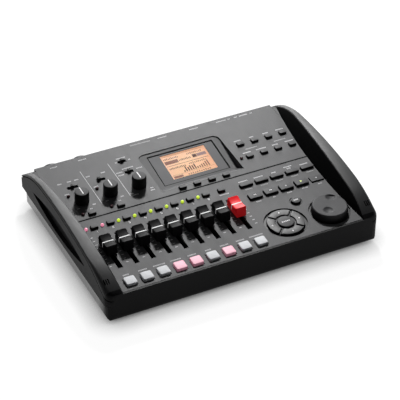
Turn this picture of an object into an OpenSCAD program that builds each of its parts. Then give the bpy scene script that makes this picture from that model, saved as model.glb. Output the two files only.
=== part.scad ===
// Digital multitrack recorder: a raked control panel between two bowed side rails.
// Millimetres, +Z up, +X to the player's right, +Y to the rear.
// The origin lies on the table, under the middle of the footprint.

/* [Case] */
// Overall width across the side rails
case_w = 257; // [255:1:280]
// Depth of the body from the front fascia to the rear wall
case_d = 183; // [181:1:200]
// Height of the rails' summit above the table
summit_z = 51; // [49:0.5:56]
// Height of the joint between the lower case and the rails
seam_z = 19; // [16:0.5:20]
// Wall and floor thickness of the lower case
wall = 2.5; // [2:0.1:3]
// Radius of the lower case's long side edges
flank_r = 9; // [6:0.5:10]
// Radius of the case's upright corners
corner_r = 6; // [3:0.5:8]
// Radius of the lower front and rear edges
toe_r = 5; // [2:0.5:6]
// Height of the rubber feet below the lower case
foot_h = 2.5; // [2:0.1:3.5]
// Radius of a rubber foot
foot_r = 7; // [4:0.5:8]
// Radius of the case screws' bosses
boss_r = 3.6; // [3.4:0.1:4]

/* [Side rails] */
// Radius of the rails' long middle arc
bow_r = 430; // [400:10:480]
// Radius of the arc that brings a rail down to the front
bow_front_r = 95; // [90:1:105]
// Radius of the arc that brings a rail down to the rear
bow_rear_r = 87; // [82:1:100]
// Place of the summit along the depth
summit_y = 20; // [16:1:24]
// Run of the middle arc in front of the summit
bow_front_run = 83; // [80:1:88]
// Run of the middle arc behind the summit
bow_rear_run = 25; // [20:1:32]
// Radius of the rails' inner wall, seen from above
inner_r = 606; // [550:2:700]
// Width of a rail at the panel's face, where it is widest
rail_w = 17.7; // [16:0.1:18.5]
// Lean of the inner wall between the panel and the summit
inner_lean = 7.5; // [4:0.5:9]
// Distance of the shadow groove under a rail's outer top edge
edge_line_drop = 1.4; // [1:0.1:3]
// Width of the shadow groove
edge_line_w = 1; // [0.6:0.1:1.5]
// Depth of the shadow groove
edge_line_depth = 0.8; // [0.4:0.1:1.2]
// Width of a rail's foot beside the panel
rail_foot_w = 10.35; // [9.5:0.05:11]
// Length of the grip recess in a rail's outer face
grip_l = 116; // [90:1:122]
// Height of the grip recess
grip_h = 14.8; // [8:0.2:16]
// Depth of the grip recess
grip_depth = 3.5; // [2:0.5:5]
// Reach of the rails behind the rear wall
rail_tail = 7; // [2:0.5:9]
// Radius of the rails' upright rear corners
tail_r = 2; // [1:0.5:4]
// Radius of a microphone capsule
mic_r = 3; // [2:0.1:3.2]

/* [Control panel] */
// Height of the panel's face above the table at mid-depth
panel_z = 34.3; // [34:0.1:36]
// Rake of the panel, rear edge up, in degrees
panel_rake = 2.87; // [2.5:0.01:3.2]
// Thickness of the panel
panel_t = 2.5; // [2.2:0.1:3]
// Thickness of the fascia's lip in front of the panel
lip_t = 1.6; // [1:0.1:2]
// Depth of the control board's face below the panel's face
board_drop = 9; // [8.6:0.1:9.4]
// Thickness of the circuit boards
board_t = 1.6; // [1:0.1:2]

/* [Display] */
// Width of the display well
well_w = 80.2; // [76:0.2:84]
// Depth of the display well from its front edge to its rear edge
well_d = 55.1; // [53:0.1:57]
// Run of the sloping wall at the front of the well
well_ramp = 10.1; // [9:0.1:11]
// Rake of the well's floor against the panel, in degrees
well_rake = 7.2; // [6:0.1:8]
// Depth of the well's floor under the panel at its rear edge
well_rear_drop = 0.65; // [0.4:0.05:1]
// Width of the clear window
window_w = 65; // [62:0.5:68]
// Depth of the clear window
window_d = 38.8; // [36:0.2:40]
// Thickness of the clear window
window_t = 1; // [0.8:0.1:1.5]

/* [Faders and pads] */
// Distance between neighbouring track columns
column_pitch = 15.1; // [14.8:0.1:15.2]
// Width of a fader cap
cap_w = 10; // [8:0.5:11]
// Length of a fader cap at its foot
cap_l = 19.2; // [17:0.2:20]
// Height of a fader cap's two crests above its foot
cap_h = 9.3; // [7:0.1:11]
// Dip of the saddle between the crests
saddle_dip = 1.7; // [1:0.1:2.5]
// Travel of a fader
fader_travel = 40; // [36:1:41]
// Distance of the faders at rest from the front end of their travel
fader_rest = 24.7; // [20:0.1:30]
// Width of the fader slots
slot_w = 4.4; // [3:0.1:5]
// Width of a square pad
pad_w = 9.8; // [8:0.1:11]
// Height of a pad above the panel
pad_h = 2.3; // [1.5:0.1:3]

/* [Keys] */
// Width of a small key
key_w = 6.5; // [5:0.1:6.8]
// Depth of a small key
key_d = 4.4; // [3.6:0.1:4.6]
// Height of the small keys above the panel
key_h = 2.1; // [1.2:0.1:3]
// Depth of the soft keys in front of the display
soft_key_d = 3.8; // [3:0.1:4]
// Width of a wide key
wide_key_w = 12.3; // [11:0.1:12.6]
// Depth of a transport key
transport_d = 7.2; // [6:0.1:8]
// Height of the record key, which lies lower than its neighbours
record_h = 1.1; // [0.5:0.1:2]
// Travel of every key and pad
key_travel = 0.8; // [0.4:0.1:0.9]
// Clearance around a key or pad in its hole
key_clear = 0.3; // [0.2:0.05:0.4]

/* [Dials] */
// Radius of the three knobs
knob_r = 6.5; // [5:0.1:7.5]
// Height of the knobs above the panel
knob_h = 11.5; // [8:0.5:14]
// Radius of the jog dial at its foot
dial_r = 16.2; // [14:0.1:16.6]
// Draft of the jog dial between its foot and its top
dial_draft = 0.6; // [0.2:0.1:1.5]
// Height of the jog dial above the panel
dial_h = 6.3; // [4:0.1:8]
// Radius of the shafts under the knobs and the dial
shaft_r = 3; // [2:0.1:3.2]
// Radial clearance of the shafts in their bushings
shaft_clear = 0.05; // [0.02:0.01:0.1]
// Radius of the cursor's dish
cursor_r = 19.3; // [18.5:0.1:19.6]
// Radius of the enter key
enter_r = 7.2; // [6:0.1:7.4]
// Radius of the exit key
exit_r = 4.3; // [3.5:0.1:4.6]

/* [Rear side] */
// Reach of the input jacks' collars behind the rear wall
collar_out = 7; // [5:0.1:9]
// Radius of the input jacks' collars
collar_r = 11.2; // [10.5:0.1:11.6]
// Height of the input jacks' axes
collar_z = 23.5; // [23:0.1:24]
// Radius of the plug bores in the jacks
plug_r = 3.25; // [3:0.05:3.5]
// Height of the other rear sockets' axes
socket_z = 20; // [19:0.1:21]

/* [Battery bay] */
// Width of the battery bay
bay_w = 62; // [60:0.5:66]
// Length of the battery bay
bay_l = 58; // [56:0.5:60]
// Height of the battery bay above its cover
bay_h = 15; // [14.6:0.1:15.2]
// Thickness of the battery cover
cover_t = 2; // [1.5:0.1:2.2]

/* [Hidden] */
$fn = 64;

// Colours
case_colour = "#1b1b1e";
panel_colour = "#5c5c60";
key_colour = "#4a4a4e";
black = "#101012";
metal = "#b8b8bc";
board_colour = "#1f5a38";

// General clearances
reach = 400;
fit_gap = 0.15;
run_gap = 0.3;

// The layout is drawn for this width and depth, and stretches with the case
layout = [257, 183];
kx = case_w / layout[0];
ky = case_d / layout[1];
kr = min(kx, ky);
function at(x, y) = [x * kx, y * ky];

// Main planes of the case
half_w = case_w / 2;
front_y = -(case_d + collar_out) / 2;
rear_y = front_y + case_d;
floor_z = foot_h + wall;
panel_hw = half_w - rail_foot_w;
fascia_t = lip_t + wall;

// Arcs of the rails' crest, each given by its centre in depth and height
front_a = asin(bow_front_run / bow_r);
rear_a = asin(bow_rear_run / bow_r);
bow_c = [summit_y, summit_z - bow_r];
front_c = bow_c + (bow_r - bow_front_r) * [-sin(front_a), cos(front_a)];
rear_c = bow_c + (bow_r - bow_rear_r) * [sin(rear_a), cos(rear_a)];
tail_y = rear_y + rail_tail;
rail_band = 30;
inner_bow_y = -23 * ky;
grip_y = 7.5 * ky;
grip_z = 31.3;
side_over = 1;

// Microphones in the rails' front ends, under three vents each
mic_site = [panel_hw + rail_foot_w / 2 - 0.6, front_y + 12];
mic_top = 29;
mic_len = 5;
vent_pitch = 1.8;
vent_w = 0.9;
vent_l = 5;

// Case screws and feet
boss_x = half_w - 14;
boss_sites = [for (x = [-boss_x, boss_x], y = [-75, -15, 54]) [x, y * ky]];
boss_joint_z = 20;
screw_r = 1.4;
screw_hole_r = 1.6;
head_r = 2.2;
head_h = 1.8;
screw_bite = 6;
screw_room = 1.5;
boss_clear = 0.5;
foot_x = half_w - 24;
foot_sites = [for (x = [-foot_x, foot_x], y = [front_y + 16, rear_y - 16]) [x, y]];
foot_seat = 0.5;

// Key details below the panel
flange = 0.7;
flange_t = 1;
flange_gap = 0.2;
flange_z = -panel_t - flange_gap;
switch_w = 6;
switch_d = 5;
switch_top = flange_z - flange_t - key_travel - run_gap;
switch_button_h = 0.5;
switch_button_r = 1.6;
key_corner = 0.7;
runner_w = 1.6;
runner_lap = 0.2;

// Groove across the panel
groove_y = 4.2 * ky;
groove_w = 0.9;
groove_drop = 0.6;

// Track columns
columns = 9;
column_x0 = -101.9 * kx;
function column_x(i) = column_x0 + (i - 1) * column_pitch * kx;
fader_run = fader_travel * ky;
fader_front_y = -63.1 * ky;
fader_y = fader_front_y + fader_rest * ky;
stem_w = 1.2;
stem_l = 3.4;
stem_reach = 3;
cap_lift = 0.8;
cap_slope = 1.3;
slot_l = fader_run + stem_l;
slot_y = fader_front_y + fader_run / 2;
track_w = 7.6;
track_over = 4;
pad_y = -84 * ky;
pad_corner = 1.6;
track_key_y = -8.1 * ky;
track_key_x = 0.4;

// Display well: floor plane, window and module
well_x = 12.1 * kx;
well_front_y = 11.9 * ky;
well_rear_y = well_front_y + well_d;
well_corner = 6;
well_floor_t = 2.6;
well_wall = 2;
ramp_wall = 0.5;
window_x = well_x + 0.7;
window_y = well_front_y + 32.1;
window_sink = 0.6;
window_seat = 2;
function well_drop(y) = well_rear_drop + (well_rear_y - y) * tan(well_rake);
lcd_w = 43.9;
lcd_d = 31;
lcd_x = 0.8;
lcd_y = 1.2;
lcd_frame = 4;
lcd_t = 4;
lcd_proud = 0.2;

// Key rows: first centre, pitch and count
well_aside = 12.7;
key_space = 2.9;
soft_gap = 0.2;
utility_x0 = well_x + well_w / 2 + well_aside;
utility_pitch = (108.1 * kx - utility_x0) / 3;
utility_x = [for (i = [0:3]) utility_x0 + utility_pitch * i];
utility_rows = [25.4 * ky, 44.4 * ky];
wide_pitch = 15.25 * kx;
wide_x = [for (i = [0:4]) 42.6 * kx + wide_pitch * i];
wide_w = min(wide_key_w, wide_pitch - key_space);
function_y = -10.3 * ky;
transport_y = -27.7 * ky;
soft_x = [for (x = [-95.6, -68.6, -9.6, 4.67, 18.94, 33.2]) x * kx];
soft_y = well_front_y - soft_key_d / 2 - key_clear - soft_gap;
track_key_sites = [for (i = [1:columns]) [column_x(i) + track_key_x, track_key_y]];
utility_sites = [for (y = utility_rows, x = utility_x) [x, y]];
function_sites = [for (x = wide_x) [x, function_y]];
soft_sites = [for (x = soft_x) [x, soft_y]];
transport_sites = [for (x = wide_x) [x, transport_y]];
pad_sites = [for (i = [1:columns]) [column_x(i), pad_y]];

// Knobs, dial, cursor and exit key
knob_sites = [at(-97.2, 28.5), at(-70.2, 28.5), at(-43, 28.2)];
knob_lift = 0.5;
knob_edge = 0.8;
knob_draft = 0.2;
dial_site = at(92.3, -71.5);
dial_foot_r = dial_r * kr;
dial_gap = 2.3 * kr;
dial_dish_r = dial_foot_r + dial_gap;
dish_drop = 1.5;
dimple_r = 9;
dimple_sink = 1.3;
dimples = [[6.1, 9.4], [-4.4, -5.2]];
bushing_r = shaft_r + 1;
bushing_clear = 0.2;
shaft_reach = 5.5;
rotary_w = 9.6;
cursor_site = at(50.3, -70);
cursor_dish_r = cursor_r * kr;
enter_key_r = enter_r * kr;
cursor_h = 1;
cursor_in = enter_key_r + 2.1;
cursor_out = cursor_dish_r - 2.9;
cursor_gap = 1.8;
cursor_flange = 0.5;
cursor_flange_gap = 0.7;
enter_h = 1.6;
rib_w = 0.9;
rib_inset = 0.15;
exit_site = at(71.8, -48.3);
exit_h = 2;
exit_dish = 1.7;
exit_dish_drop = 0.8;

// Slide switches: centre of slot, length of slot, place of slider in the slot at rest
switch_slot_d = 3.6;
slider_w = 3;
slider_h = 3;
slider_foot = 1.2;
slide_body_d = 6;
slide_sites = [at(-97, 50), at(-70, 50), at(-42.8, 50), at(-42.8, 66)];
slide_lengths = [10.4, 8.2, 8.2, 8.2];
slide_rest = [0, -2, 0, 0];

// Indicator lamps
lamp_r = 1.5;
lamp_clear = 0.15;
lamp_h = 0.5;
lamp_aside = 7.2;
well_lamp = 4.3;
lamp_sites = concat(
    [for (i = [1:columns - 1]) [column_x(i) - lamp_aside * kx, track_key_y - 0.3]],
    [at(-105.5, 39.3), at(-78.4, 39.3), at(-103.5, 11.3), at(-76.7, 11.3)],
    [[well_x + well_w / 2 + well_lamp, utility_rows[0]]]
);

// Boards
board_posts = [
    at(-84, 28), at(-56.5, 28), at(-108.5, -50), at(27.5, -50),
    at(29, -8), at(80, 8), at(104, 8), at(71.5, -84)
];
post_r = 2;
board_edge = 1.5;
board_rear_y = 55 * ky;
board_step_x = -58 * kx;
main_front_y = 38 * ky;
main_rear_gap = 1.5;
main_z = floor_z + 4;
main_top = main_z + board_t;
main_hw = half_w - 19.5;
main_posts = [for (x = [-main_hw + 5, 0, main_hw - 5], y = [main_front_y + 5, rear_y - 9]) [x, y]];

// Rear sockets, by place across the width
rear_cut = 2 * wall + 2;
combo_x = [-100.8 * kx, -72.3 * kx];
combo_w = 25;
combo_len = 26;
combo_low = 2.2;
combo_face = 2;
combo_face_r = 9;
jack_x = [-40 * kx, -18 * kx, 5 * kx];
jack_w = 13;
jack_half_h = 6;
jack_len = 22;
jack_bushing_r = 4.5;
jack_out = 2.5;
jack_nut_r = 6.5;
nut_t = 2;
usb_x = 37 * kx;
usb_size = [8, 9, 5];
dc_x = 58 * kx;
dc_size = [10, 14, 11];
dc_r = 2.9;
dc_pin_r = 1;
dc_rim = 1;
power_x = 74 * kx;
power_slot = [9.4, 3.6];
power_w = 4;
power_out = 2.5;
power_travel = power_slot[0] - power_w - 2 * run_gap;
card_x = 97 * kx;
card_size = [28, 26, 4];
card_slot = [24.6, 2.6];
socket_depth = 9;
socket_back = 2;
shell_t = 0.5;

// Battery bay
bay_y = -1;
bay_wall = 1.5;
bay_z = foot_h + cover_t;
cover_axis_y = bay_y + bay_l / 2 - run_gap - cover_t / 2;
cover_axis_z = foot_h + cover_t / 2;
pin_r = 0.7;
pin_out = 1.2;
latch_w = 14;
latch_d = 3;
contact_t = 0.5;
cell_pitch = 14.5;
contact_w = 10;
contact_h = 10;
contact_r = 3;
contact_out = 1;

function panel_top(y) = panel_z + y * tan(panel_rake);
function ring_point(c, r, a) = c + r * [cos(a), sin(a)];
function arc(c, r, a0, a1, n) = [for (i = [0:n]) ring_point(c, r, a0 + (a1 - a0) * i / n)];
function round_rect(w, d, r) = concat(
    arc([w / 2 - r, d / 2 - r], r, 0, 90, 4), arc([r - w / 2, d / 2 - r], r, 90, 180, 4),
    arc([r - w / 2, r - d / 2], r, 180, 270, 4), arc([w / 2 - r, r - d / 2], r, 270, 360, 4)
);

// Places children in the panel's own plane, face at zero height
module on_panel(site = [0, 0], z = 0) {
    translate([0, 0, panel_z]) rotate([panel_rake, 0, 0]) translate([site[0], site[1], z]) children();
}

// Places children on the display well's floor, under the window's middle
module on_well() {
    on_panel([window_x, window_y], -well_drop(window_y)) rotate([well_rake, 0, 0]) children();
}

// Everything under the panel's face, or under a plane that lies lower by drop
module under_panel(hw, drop = 0) {
    on_panel() translate([-hw, -reach / 2, -drop - reach]) cube([2 * hw, reach, reach]);
}

module plate(w, d, r, h) {
    linear_extrude(h) polygon(round_rect(w, d, r));
}

module box(size) {
    translate([-size[0] / 2, -size[1] / 2, 0]) cube(size);
}

// Lower case: tray, fascia, rear wall, battery bay and bosses
module case_block() {
    rise = panel_top(rear_y) - foot_h;
    intersection() {
        translate([0, reach / 2, 0]) rotate([90, 0, 0]) linear_extrude(reach) polygon(concat(
            [[half_w, foot_h + rise], [-half_w, foot_h + rise]],
            arc([flank_r - half_w, foot_h + flank_r], flank_r, 180, 270, 6),
            arc([half_w - flank_r, foot_h + flank_r], flank_r, 270, 360, 6)
        ));
        translate([-reach / 2, 0, 0]) rotate([90, 0, 90]) linear_extrude(reach) polygon(concat(
            [[rear_y, foot_h + rise], [front_y, foot_h + rise]],
            arc([front_y + toe_r, foot_h + toe_r], toe_r, 180, 270, 5),
            arc([rear_y - toe_r, foot_h + toe_r], toe_r, 270, 360, 5)
        ));
        translate([0, (front_y + rear_y) / 2, foot_h]) plate(case_w, case_d, corner_r, rise);
    }
}

// Openings through the rear wall
module rear_bore(x, z, r) {
    translate([x, rear_y, z]) rotate([90, 0, 0]) cylinder(r = r, h = rear_cut, center = true);
}

module rear_slot(x, w, h) {
    translate([x, rear_y, socket_z - h / 2]) box([w, rear_cut, h]);
}

module rear_openings() {
    for (x = combo_x) {
        rear_bore(x, collar_z, collar_r + fit_gap);
    }
    for (x = jack_x) {
        rear_bore(x, socket_z, jack_bushing_r + fit_gap);
    }
    rear_bore(dc_x, socket_z, dc_r + dc_rim);
    rear_slot(usb_x, usb_size[0], usb_size[2]);
    rear_slot(power_x, power_slot[0], power_slot[1]);
    rear_slot(card_x, card_slot[0], card_slot[1]);
}

module lower_case() {
    inner_hw = half_w - flank_r;
    color(case_colour) difference() {
        union() {
            difference() {
                case_block();
                translate([-inner_hw, front_y + fascia_t, floor_z])
                    cube([2 * inner_hw, case_d - fascia_t - wall, reach]);
                for (side = [-1, 1]) {
                    translate([side * (panel_hw + reach / 2), 0, seam_z]) box([reach, reach, reach]);
                }
                difference() {
                    on_panel() translate([-reach / 2, -reach / 2, -panel_t]) cube([reach, reach, reach]);
                    translate([-reach / 2, front_y - reach, 0]) cube([reach, reach + lip_t, reach]);
                }
                on_panel() translate([-reach / 2, -reach / 2, 0]) cube([reach, reach, reach]);
            }
            for (p = boss_sites) {
                translate([p[0], p[1], foot_h]) cylinder(r = boss_r, h = boss_joint_z - foot_h);
            }
            for (p = main_posts) {
                translate([p[0], p[1], foot_h]) cylinder(r = post_r, h = main_z - foot_h);
            }
            translate([0, bay_y, foot_h])
                box([bay_w + 2 * bay_wall, bay_l + 2 * bay_wall, cover_t + bay_h + bay_wall]);
        }
        translate([0, bay_y, 0]) box([bay_w, bay_l, bay_z + bay_h]);
        translate([0, bay_y - bay_l / 2, 0]) box([latch_w, 2 * latch_d, bay_z]);
        cover_pin(pin_r + shaft_clear, bay_w / 2 + pin_out);
        for (p = boss_sites) {
            translate([p[0], p[1], 0]) cylinder(r = screw_hole_r, h = reach);
            translate([p[0], p[1], 0]) cylinder(r = head_r + run_gap, h = foot_h + head_h);
        }
        for (p = foot_sites) {
            translate([p[0], p[1], 0]) cylinder(r = foot_r + fit_gap, h = foot_h + foot_seat);
        }
        rear_openings();
    }
}

// Side view of a rail: three tangent arcs over the seam, from the rear end to the front end
module rail_profile(inset = 0) {
    rear_end_a = acos((tail_y - rear_c[0]) / (bow_rear_r - inset));
    front_end_a = acos((front_y - front_c[0]) / (bow_front_r - inset));
    polygon(concat(
        arc([tail_y - tail_r, seam_z + tail_r], tail_r, 270, 360, 4),
        arc(rear_c, bow_rear_r - inset, rear_end_a, 90 - rear_a, 20),
        arc(bow_c, bow_r - inset, 90 - rear_a, 90 + front_a, 20),
        arc(front_c, bow_front_r - inset, 90 + front_a, front_end_a, 20),
        [[front_y, seam_z]]
    ));
}

module rail_plan() {
    polygon(concat(
        [[half_w - rail_band, tail_y], [half_w - rail_band, front_y]],
        arc([half_w - corner_r, front_y + corner_r], corner_r, 270, 360, 5),
        arc([half_w - tail_r, tail_y - tail_r], tail_r, 0, 90, 4)
    ));
}

// Lays a side view out flat against a rail's outer face, from depth w to the outside
module from_side(w) {
    translate([half_w - w, 0, 0]) rotate([90, 0, 90]) linear_extrude(w + side_over) children();
}

module rail() {
    lean = inner_lean / (summit_z - panel_z);
    cone_h = summit_z + 1;
    cone_top_r = inner_r - lean * (cone_h - panel_z);
    grip_arc = (pow(grip_l / 2, 2) + pow(grip_h / 2, 2)) / grip_h;
    color(case_colour) difference() {
        intersection() {
            from_side(rail_band) rail_profile();
            translate([0, 0, seam_z]) linear_extrude(summit_z) rail_plan();
            union() {
                translate([half_w - rail_w * kx + inner_r, inner_bow_y, 0])
                    cylinder(r1 = inner_r + lean * panel_z, r2 = cone_top_r, h = cone_h, $fn = 180);
                on_panel([panel_hw, -reach / 2], -reach) cube([rail_foot_w + 1, reach, reach]);
            }
        }
        under_panel(panel_hw);
        from_side(grip_depth) intersection() {
            translate([grip_y, grip_z + grip_h / 2 - grip_arc]) circle(r = grip_arc, $fn = 180);
            translate([grip_y, grip_z - grip_h / 2 + grip_arc]) circle(r = grip_arc, $fn = 180);
        }
        from_side(edge_line_depth) difference() {
            rail_profile(edge_line_drop);
            rail_profile(edge_line_drop + edge_line_w);
        }
        translate([mic_site[0], mic_site[1], 0]) cylinder(r = mic_r + fit_gap, h = mic_top);
        for (i = [-1:1]) {
            translate([mic_site[0] + vent_pitch * i, mic_site[1], mic_top - 1])
                box([vent_w, vent_l, summit_z]);
        }
    }
}

module right_rail() {
    rail();
}

module left_rail() {
    mirror([1, 0, 0]) rail();
}

// Control panel: plate with its holes, display well, dishes, bosses and board posts
module cursor_sector(r_in, r_out, gap) {
    intersection() {
        difference() {
            circle(r = r_out);
            circle(r = r_in);
        }
        translate([gap / sqrt(2), 0]) polygon([[0, 0], [2 * r_out, 2 * r_out], [2 * r_out, -2 * r_out]]);
    }
}

module key_holes(sites, w, d) {
    for (p = sites) {
        translate(p) square([w + 2 * key_clear, d + 2 * key_clear], center = true);
    }
}

module panel_holes() {
    key_holes(track_key_sites, key_w, key_d);
    key_holes(utility_sites, key_w, key_d);
    key_holes(soft_sites, key_w, soft_key_d);
    key_holes(function_sites, wide_w, key_d);
    key_holes(transport_sites, wide_w, transport_d);
    key_holes(pad_sites, pad_w, pad_w);
    for (i = [1:columns]) {
        translate([column_x(i), slot_y]) square([slot_w, slot_l], center = true);
    }
    for (i = [0:len(slide_sites) - 1]) {
        translate(slide_sites[i]) square([slide_lengths[i], switch_slot_d], center = true);
    }
    for (p = lamp_sites) {
        translate(p) circle(r = lamp_r + lamp_clear);
    }
    for (p = concat(knob_sites, [dial_site])) {
        translate(p) circle(r = bushing_r + bushing_clear);
    }
    translate(exit_site) circle(r = exit_r + key_clear);
    translate(cursor_site) {
        circle(r = enter_key_r + key_clear);
        for (a = [0:90:270]) {
            rotate(a)
                cursor_sector(cursor_in - key_clear, cursor_out + key_clear, cursor_gap - 2 * key_clear);
        }
    }
}

// The cursor's dish, without the ring and the four ribs that stay at the panel's level
module cursor_dish() {
    difference() {
        circle(r = cursor_dish_r);
        difference() {
            union() {
                circle(r = cursor_in - key_clear - rib_inset);
                for (a = [45, 135]) {
                    rotate(a) square([2 * cursor_out, rib_w], center = true);
                }
            }
            circle(r = enter_key_r + key_clear + rib_inset);
        }
    }
}

module well_profile(front, rear, top, drop, ramp_shift) {
    floor_y = well_front_y + well_ramp + ramp_shift;
    polygon([
        [front, top], [front, min(top, 0)], [floor_y, -well_drop(floor_y) - drop],
        [rear, -well_drop(rear) - drop], [rear, top]
    ]);
}

module along_x(w) {
    translate([-w / 2, 0, 0]) rotate([90, 0, 90]) linear_extrude(w) children();
}

module control_panel() {
    edge_hw = panel_hw - fit_gap;
    plate_front = front_y + lip_t + run_gap;
    tub_w = well_w + 2 * well_wall;
    color(panel_colour) difference() {
        union() {
            difference() {
                on_panel([0, 0], -panel_t) linear_extrude(panel_t) difference() {
                    translate([-edge_hw, plate_front]) square([2 * edge_hw, rear_y - plate_front]);
                    panel_holes();
                }
                on_panel(cursor_site, -dish_drop) linear_extrude(panel_t) cursor_dish();
                on_panel(dial_site, -dish_drop) cylinder(r = dial_dish_r, h = panel_t);
                on_panel(exit_site, -exit_dish_drop) cylinder(r = exit_r + exit_dish, h = panel_t);
                on_panel([0, groove_y], -groove_drop) box([2 * panel_hw, groove_w, 2 * groove_drop]);
            }
            on_panel([well_x, 0]) along_x(tub_w)
                well_profile(well_front_y + ramp_wall, well_rear_y + well_wall, -panel_t, well_floor_t, -1);
            for (p = board_posts) {
                on_panel(p, -board_drop) cylinder(r = post_r, h = board_drop - panel_t);
            }
            intersection() {
                for (p = boss_sites) {
                    translate([p[0], p[1], boss_joint_z]) cylinder(r = boss_r, h = reach);
                }
                under_panel(panel_hw, panel_t);
            }
        }
        intersection() {
            on_panel([well_x, 0]) along_x(well_w) well_profile(well_front_y, well_rear_y, 1, 0, 0);
            on_panel([well_x, well_front_y + well_d / 2 - well_corner / 2], -reach / 2)
                plate(well_w, well_d + well_corner, well_corner, reach);
        }
        on_well() translate([0, 0, -window_sink - window_t])
            box([window_w + 2 * fit_gap, window_d + 2 * fit_gap, well_floor_t]);
        on_well() translate([0, 0, -2 * well_floor_t])
            box([window_w - 2 * window_seat, window_d - 2 * window_seat, 3 * well_floor_t]);
        for (p = boss_sites) {
            translate([p[0], p[1], boss_joint_z - 1])
                cylinder(r = screw_hole_r, h = screw_bite + screw_room + 1);
        }
    }
}

module display_window() {
    color("#8090a0") on_well() translate([0, 0, -window_sink - window_t])
        box([window_w, window_d, window_t]);
}

module lcd_module() {
    color("#e8a860") on_well() translate([lcd_x, lcd_y, -well_floor_t]) {
        translate([0, 0, -lcd_t]) box([lcd_w + 2 * lcd_frame, lcd_d + 2 * lcd_frame, lcd_t]);
        box([lcd_w, lcd_d, lcd_proud]);
    }
}

// Circuit boards
key_switch_sites = concat(
    track_key_sites, utility_sites, function_sites, soft_sites, transport_sites, pad_sites,
    [cursor_site, exit_site],
    [for (a = [0:90:270]) cursor_site + (cursor_in + cursor_out) / 2 * [cos(a), sin(a)]]
);

module control_board() {
    board_hw = panel_hw - board_edge;
    board_front = front_y + fascia_t + board_edge;
    color(board_colour) difference() {
        union() {
            on_panel([0, 0], -board_drop - board_t) linear_extrude(board_t) difference() {
                union() {
                    translate([-board_hw, board_front]) square([2 * board_hw, board_rear_y - board_front]);
                    translate([board_step_x, 0]) square([board_hw - board_step_x, well_rear_y + well_wall]);
                }
                translate([well_x - well_w / 2 - well_wall - 1, well_front_y + 1])
                    square([well_w + 2 * well_wall + 2, reach]);
            }
            for (p = key_switch_sites) {
                on_panel(p, -board_drop) box([switch_w, switch_d, board_drop + switch_top - switch_button_h]);
                on_panel(p, switch_top - switch_button_h) cylinder(r = switch_button_r, h = switch_button_h);
            }
            for (i = [0:len(slide_sites) - 1]) {
                on_panel(slide_sites[i], -board_drop)
                    box([slide_lengths[i], slide_body_d, board_drop - panel_t - slider_foot - 2 * run_gap]);
            }
        }
        for (p = boss_sites) {
            translate([p[0], p[1], 0]) cylinder(r = boss_r + boss_clear, h = reach);
        }
    }
}

module main_board() {
    color(board_colour) translate([0, (main_front_y + rear_y - wall - main_rear_gap) / 2, main_z])
        box([2 * main_hw, rear_y - wall - main_rear_gap - main_front_y, board_t]);
}

// Jacks and sockets along the rear wall, standing on the main board
module combo_jacks() {
    back_y = rear_y - wall;
    body_h = 2 * (collar_z - main_top) - combo_low;
    color(black) for (x = combo_x) difference() {
        union() {
            translate([x, back_y - combo_len / 2, main_top]) box([combo_w, combo_len, body_h]);
            translate([x, back_y - 1, collar_z]) rotate([-90, 0, 0])
                cylinder(r = collar_r, h = wall + collar_out + 1);
        }
        translate([x, rear_y + collar_out + 1, collar_z]) rotate([90, 0, 0])
            cylinder(r = plug_r, h = combo_len + collar_out);
        translate([x, rear_y + collar_out - combo_face, collar_z]) rotate([-90, 0, 0])
            cylinder(r = combo_face_r, h = combo_face + 1);
    }
}

module phone_jack(x) {
    back_y = rear_y - wall;
    difference() {
        union() {
            translate([x, back_y - jack_len / 2, main_top])
                box([jack_w, jack_len, socket_z + jack_half_h - main_top]);
            translate([x, back_y - 1, socket_z]) rotate([-90, 0, 0])
                cylinder(r = jack_bushing_r, h = wall + jack_out + 1);
            translate([x, rear_y, socket_z]) rotate([-90, 0, 0])
                cylinder(r = jack_nut_r, h = nut_t, $fn = 6);
        }
        translate([x, rear_y + jack_out + 1, socket_z]) rotate([90, 0, 0])
            cylinder(r = plug_r, h = jack_len + wall + jack_out);
    }
}

module socket_block(x, size) {
    translate([x, rear_y - wall - size[1] / 2, main_top])
        box([size[0], size[1], socket_z - main_top + size[2] / 2]);
}

module rear_sockets() {
    back_y = rear_y - wall;
    color(metal) {
        for (x = jack_x) {
            phone_jack(x);
        }
        difference() {
            socket_block(usb_x, usb_size + [2, 0, 2]);
            translate([usb_x, back_y, socket_z - usb_size[2] / 2 + shell_t])
                box([usb_size[0] - 2 * shell_t, 2 * (usb_size[1] - socket_back), usb_size[2] - 2 * shell_t]);
        }
        difference() {
            socket_block(dc_x, dc_size);
            translate([dc_x, back_y + 1, socket_z]) rotate([90, 0, 0]) difference() {
                cylinder(r = dc_r, h = socket_depth + 1);
                translate([0, 0, -1]) cylinder(r = dc_pin_r, h = socket_depth + 3);
            }
        }
        difference() {
            socket_block(power_x, [power_slot[0] + 3, socket_depth, power_slot[1] + 3]);
            translate([power_x, back_y, socket_z - power_slot[1] / 2])
                box([power_slot[0], 2 * (socket_depth - socket_back), power_slot[1]]);
        }
        difference() {
            socket_block(card_x, card_size);
            translate([card_x, back_y, socket_z - card_slot[1] / 2])
                box([card_slot[0], 2 * card_size[1] - 6, card_slot[1]]);
        }
    }
}

module power_switch() {
    depth = socket_depth - socket_back - run_gap;
    color(black) translate([power_x - power_travel / 2, rear_y + power_out - (depth + wall + power_out) / 2,
        socket_z - power_slot[1] / 2 + run_gap])
        box([power_w, depth + wall + power_out, power_slot[1] - 2 * run_gap]);
}

// Bodies of the slide potentiometers, the rotary potentiometers and the encoder
track_top = -panel_t - run_gap;

module fader_tracks() {
    h = board_drop + track_top;
    color(metal) for (i = [1:columns]) on_panel([column_x(i), slot_y], -board_drop) difference() {
        box([track_w, slot_l + 2 * track_over, h]);
        translate([0, 0, h - stem_reach - run_gap]) box([stem_w + 2 * run_gap, slot_l, h]);
    }
}

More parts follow.
